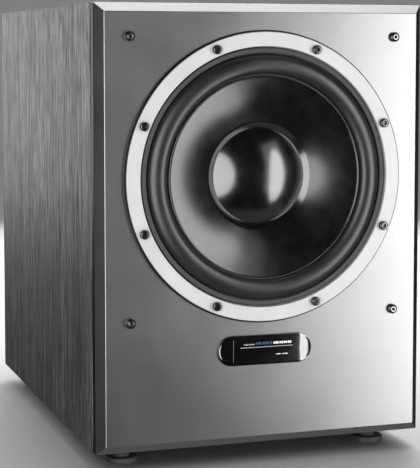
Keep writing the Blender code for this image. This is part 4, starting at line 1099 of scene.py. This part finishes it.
def make_inlet():
    """The mains inlet with its blades and screws, and the fuse drawer under its mouth."""
    home = shift(*INLET_CENTRE)
    top = PLATE_OUTER
    face = top + 0.0025
    above = face + 0.01
    screw_x = 0.0195
    flange = prism(rectangle(0.048, 0.056, 0.004, 8), top, face, 0.0006)
    barrel = block((-0.017, -0.024, top - 0.025), (0.017, 0.024, top + 0.001), 0.0006)
    cavity = prism(inlet_outline(0.024, 0.017), face - 0.017, above, 0.0)
    step = prism(inlet_outline(0.0256, 0.0186), face - 0.0006, above, 0.0)
    drawer = prism(rectangle(0.0236, 0.0096, 0.0004, 2, 0.0, -0.017), face - 0.03, above, 0.0)
    sink = [(0.0, 0.01), (0.0033, 0.01), (0.0033, 0.0), (0.0018, -0.0016), (0.0, -0.0016)]
    sinks = [placed(revolve(sink, 32), shift(x, MOUTH_UP, face)) for x in (-screw_x, screw_x)]
    inlet = carved(flange, cavity, step, drawer, *sinks, add=[barrel])
    piece("inlet", placed(inlet, home), "plastic", REAR, "mains_inlet")
    blades = []
    for x, y in ((-0.007, MOUTH_UP - 0.001), (0.007, MOUTH_UP - 0.001), (0.0, MOUTH_UP + 0.0035)):
        blades.append(block((x - 0.001, y - 0.002, face - 0.0175), (x + 0.001, y + 0.002, face - 0.004)))
    piece("inlet_blades", placed(merged(*blades), home), "brass", REAR)
    for number, x in enumerate((-screw_x, screw_x), 1):
        spot = REAR @ home @ shift(x, MOUTH_UP, face - 0.0012)
        piece(f"inlet_screw_{number}", screw_head(0.0029, 0.0013), "black_steel", spot)
    tray = block((-0.0115, -0.0215, face - 0.023), (0.0115, -0.0125, face + 0.001))
    grip = block((-0.005, -0.0205, face + 0.0004), (0.005, -0.019, face + 0.002), 0.0002)
    piece("fuse_tray", placed(carved(tray, grip), home), "plastic", REAR, "fuse_drawer", "fuse_holder")


def make_sockets():
    """Two input sockets with contacts in a solid core, and two output sockets with pins."""
    face = PLATE_OUTER + 0.002
    for name, (x, y) in XLR_CENTRES.items():
        place = REAR @ shift(x, y)
        flange = prism(rectangle(0.026, 0.031, 0.003, 8), PLATE_OUTER, face, 0.0005)
        barrel = rod(0.0118, face - 0.022, face - 0.001, segments=96)
        bore = rod(0.0097, face - 0.016, face + 0.002, segments=96, rim=0.0)
        lead = revolve([(0.0, 0.01), (0.0104, 0.01), (0.0104, 0.0), (0.0097, -0.0007), (0.0, -0.0007)], 96)
        lead = placed(lead, shift(0.0, 0.0, face))
        piece(f"{name}_shell", carved(flange, bore, lead, add=[barrel]), "nickel", place, f"{name}_socket")
        if "input" in name:
            pins = circle_points(0.0047, 3, 90)
            core = rod(0.0076, face - 0.0158, face - 0.0004, segments=72, rim=0.0004)
            holes = [rod(0.0014, face - 0.01, face + 0.002, px, py, 24, 0.0) for px, py in pins]
            key = block((-0.001, -0.0082, face - 0.015), (0.001, -0.0068, face + 0.002), 0.0001)
            core = carved(core, *holes, key)
            contact = (band(0.0009, 0.0013, face - 0.001, face - 0.006), 0.0001, 1, 24, True)
        else:
            pins = circle_points(0.0057, 3, 90)
            top, bottom = face - 0.0145, face - 0.0158
            core = turned([(0.0, top), (0.0095, top), (0.0095, bottom), (0.0, bottom)], 0.0002, 2, 72)
            tip, end = face - 0.003, face - 0.015
            contact = ([(0.0, tip), (0.0012, tip), (0.0012, end), (0.0, end)], [0.0, 0.0009, 0.0, 0.0], 4, 24)
        piece(f"{name}_core", core, "plastic", place)
        metal = [placed(turned(*contact), shift(px, py)) for px, py in pins]
        piece(f"{name}_contacts" if "input" in name else f"{name}_pins", merged(*metal), "brass", place)
        for number, side in enumerate((-1, 1), 1):
            spot = place @ shift(side * 0.01, -side * 0.0128, face - 0.0001)
            piece(f"{name}_screw_{number}", screw_head(0.0019, 0.0009), "black_steel", spot)


def make_board():
    """The amplifier board with its spacers, capacitors, rectifier and terminal block."""
    inner = -0.026 - 0.0008
    seated = inner + 0.0003
    place = REAR @ shift(0.04, 0.075)
    board = block((-0.055, -0.05, inner), (0.055, 0.05, inner + 0.0016), 0.0002)
    piece("board", board, "circuit", place, "circuit_board")
    spacers = [rod(0.003, inner + 0.0014, -GAP, x, y, 6, 0.0003)
               for x in (-0.049, 0.049) for y in (-0.044, 0.044)]
    piece("board_spacers", merged(*spacers), "brass", place)
    cans = [rod(0.012, inner - 0.035, seated, x, y, 48, 0.001)
            for y in (0.028, -0.004) for x in (-0.034, -0.006)]
    piece("capacitors", merged(*cans), "can", place)
    chips = [block((0.02, 0.018, inner - 0.0075), (0.04, 0.038, seated), 0.0006),
             block((0.015, -0.036, inner - 0.0115), (0.045, -0.024, seated), 0.0005)]
    chips += [rod(0.0016, inner - 0.004, seated, 0.015 + 0.006 * i, -0.01, 16, 0.0002) for i in range(5)]
    for left in spread(-0.046, -0.006, 4):
        chips.append(block((left, -0.04, inner - 0.005), (left + 0.006, -0.03, seated), 0.0003))
    piece("board_parts", merged(*chips), "plastic", place)


def make_transformer():
    """The toroid on the bottom board, with the bolt and washer that hold it."""
    place = CABINET @ shift(0.0, TRANSFORMER_DEPTH)
    bottom = PANEL_THICKNESS + GAP
    top = bottom + 0.048
    toroid = turned(band(0.02, 0.056, top, bottom), [0.005, 0.01, 0.01, 0.005], 8, 144, True)
    piece("toroid", toroid, "wrap", place, "toroidal_transformer")
    washer = top + GAP
    tip = PANEL_THICKNESS - 0.011
    bolt = [(0.0, washer + 0.007), (0.006, washer + 0.007), (0.006, washer + 0.002), (0.032, washer + 0.002),
            (0.032, washer), (0.003, washer), (0.003, tip), (0.0, tip)]
    bolt = turned(bolt, [0.0, 0.0006, 0.0, 0.0006, 0.0004, 0.0, 0.0005, 0.0], 3, 64)
    piece("toroid_bolt", bolt, "zinc", place, "transformer_bolt")


def make_speaker_cable():
    """The cable keeps the CAD's shape and takes a better material."""
    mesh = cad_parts["speaker_cable"].data
    mesh.materials.clear()
    mesh.materials.append(M["jacket"])


# Stage, light and camera


def make_stage():
    """A round floor of pale paper that curves up into a wall all round."""
    wall, bend, height = 6.5, 2.0, 5.5
    line = [(wall - bend + x, bend + y) for x, y in arc(0.0, 0.0, bend, -90, 0, 24)] + [(wall, height)]
    bm = bmesh.new()
    rings = [[bm.verts.new((r * x, r * y, z)) for x, y in circle_points(1.0, 96)] for r, z in line]
    bm.faces.new(rings[0])
    join_rings(bm, rings)
    mesh = mesh_from(bm)
    floor = linked("floor", mesh)
    paper = Shader("pale_paper", Roughness=0.75)
    paper.colour(paper.noise(3.0), 0.3, 0.7, (0.6, 0.6, 0.59), (0.66, 0.66, 0.65))
    paper.relief(paper.noise(300.0), 0.0002, 0.2)
    mesh.materials.append(paper.material)
    for face in mesh.polygons:
        face.use_smooth = True
    floor.visible_glossy = False
    floor.visible_shadow = False
    return floor


def panel_light(name, place, turn, width, height, radiance, shape="RECTANGLE"):
    """A soft light that lights the object without standing in the picture."""
    data = bpy.data.lights.new(name, "AREA")
    data.shape = shape
    data.size, data.size_y = width, height
    area = width * height * (math.pi / 4 if shape == "ELLIPSE" else 1.0)
    data.energy = radiance * math.pi * area
    obj = linked(name, data)
    obj.location = place
    obj.rotation_euler = turn
    obj.visible_camera = False
    return obj


def softbox(name, azimuths, elevations, distance, radiance, shape="RECTANGLE"):
    """An upright light that fills these angles, seen from the driver. Azimuth 0 is straight ahead, + is +X."""
    middle = math.radians(sum(azimuths) / 2)
    width = 2 * distance * math.tan(math.radians(azimuths[1] - azimuths[0]) / 2)
    low, high = (AXIS_Z + distance * math.tan(math.radians(angle)) for angle in elevations)
    place = (distance * math.sin(middle), FRONT_Y - distance * math.cos(middle), (low + high) / 2)
    return panel_light(name, place, (QUARTER, 0.0, middle), width, high - low, radiance, shape)


def keep_dark(light, obj):
    """The light leaves this object out."""
    left_out = bpy.data.collections.new(f"not_lit_by_{light.name}")
    left_out.objects.link(obj)
    left_out.collection_objects[0].light_linking.link_state = "EXCLUDE"
    light.light_linking.receiver_collection = left_out


def make_lights(floor):
    """The front lights stand close and reach below the floor's level, so they leave the floor out."""
    world = bpy.data.worlds.new("studio")
    world.use_nodes = True
    background = world.node_tree.nodes["Background"]
    background.inputs["Color"].default_value = (0.93, 0.96, 1.0, 1.0)
    background.inputs["Strength"].default_value = 0.5
    world.cycles_visibility.glossy = False
    bpy.context.scene.world = world
    front = [
        softbox("right_softbox", (24.0, 52.0), (-26.0, 36.0), 1.05, 1.3),
        softbox("right_softbox_middle", (30.0, 54.0), (-36.0, 28.0), 1.05, 6.9, "ELLIPSE"),
        softbox("left_softbox", (-60.0, -20.0), (-30.0, 26.0), 1.05, 7.0, "ELLIPSE"),
        panel_light("under_card", (0.1, -0.25, -0.3), (math.pi, 0.0, 0.0), 1.4, 1.0, 0.25),
    ]
    for light in front:
        keep_dark(light, floor)
    side = softbox("back_left_softbox", (-170.0, -150.0), (-6.0, 20.0), 2.2, 3.7)
    keep_dark(side, bpy.data.objects["baffle"])
    softbox("back_left_fill", (-170.0, -150.0), (-6.0, 20.0), 2.2, 0.8)
    softbox("back_right_softbox", (140.0, 185.0), (5.0, 45.0), 2.4, 6.0)
    panel_light("top_softbox", (0.35, 0.0, 1.7), (0.0, 0.0, 0.0), 1.3, 0.8, 4.2)


def make_camera():
    data = bpy.data.cameras.new("camera")
    data.sensor_width = 36.0
    data.lens = 117.15
    data.shift_y = -0.1453
    data.clip_start = 0.01
    camera = linked("camera", data)
    yaw, pitch = 0.3215, 0.07415
    camera.location = (-0.56959, FRONT_Y - 1.52341, BASE_Z + 0.42269)
    direction = Vector((math.sin(yaw) * math.cos(pitch), math.cos(yaw) * math.cos(pitch), -math.sin(pitch)))
    camera.rotation_euler = direction.to_track_quat("-Z", "Y").to_euler()
    bpy.context.scene.camera = camera


make_camera()
make_baffle()
make_panels()
make_wadding()
make_feet()
make_basket()
make_moving_parts()
make_suspension()
make_motor()
make_driver_screws()
make_studs()
make_badge()
make_plate()
make_heatsink()
make_controls()
make_phase_switch()
make_power_switch()
make_inlet()
make_sockets()
make_board()
make_transformer()
make_speaker_cable()
make_lights(make_stage())
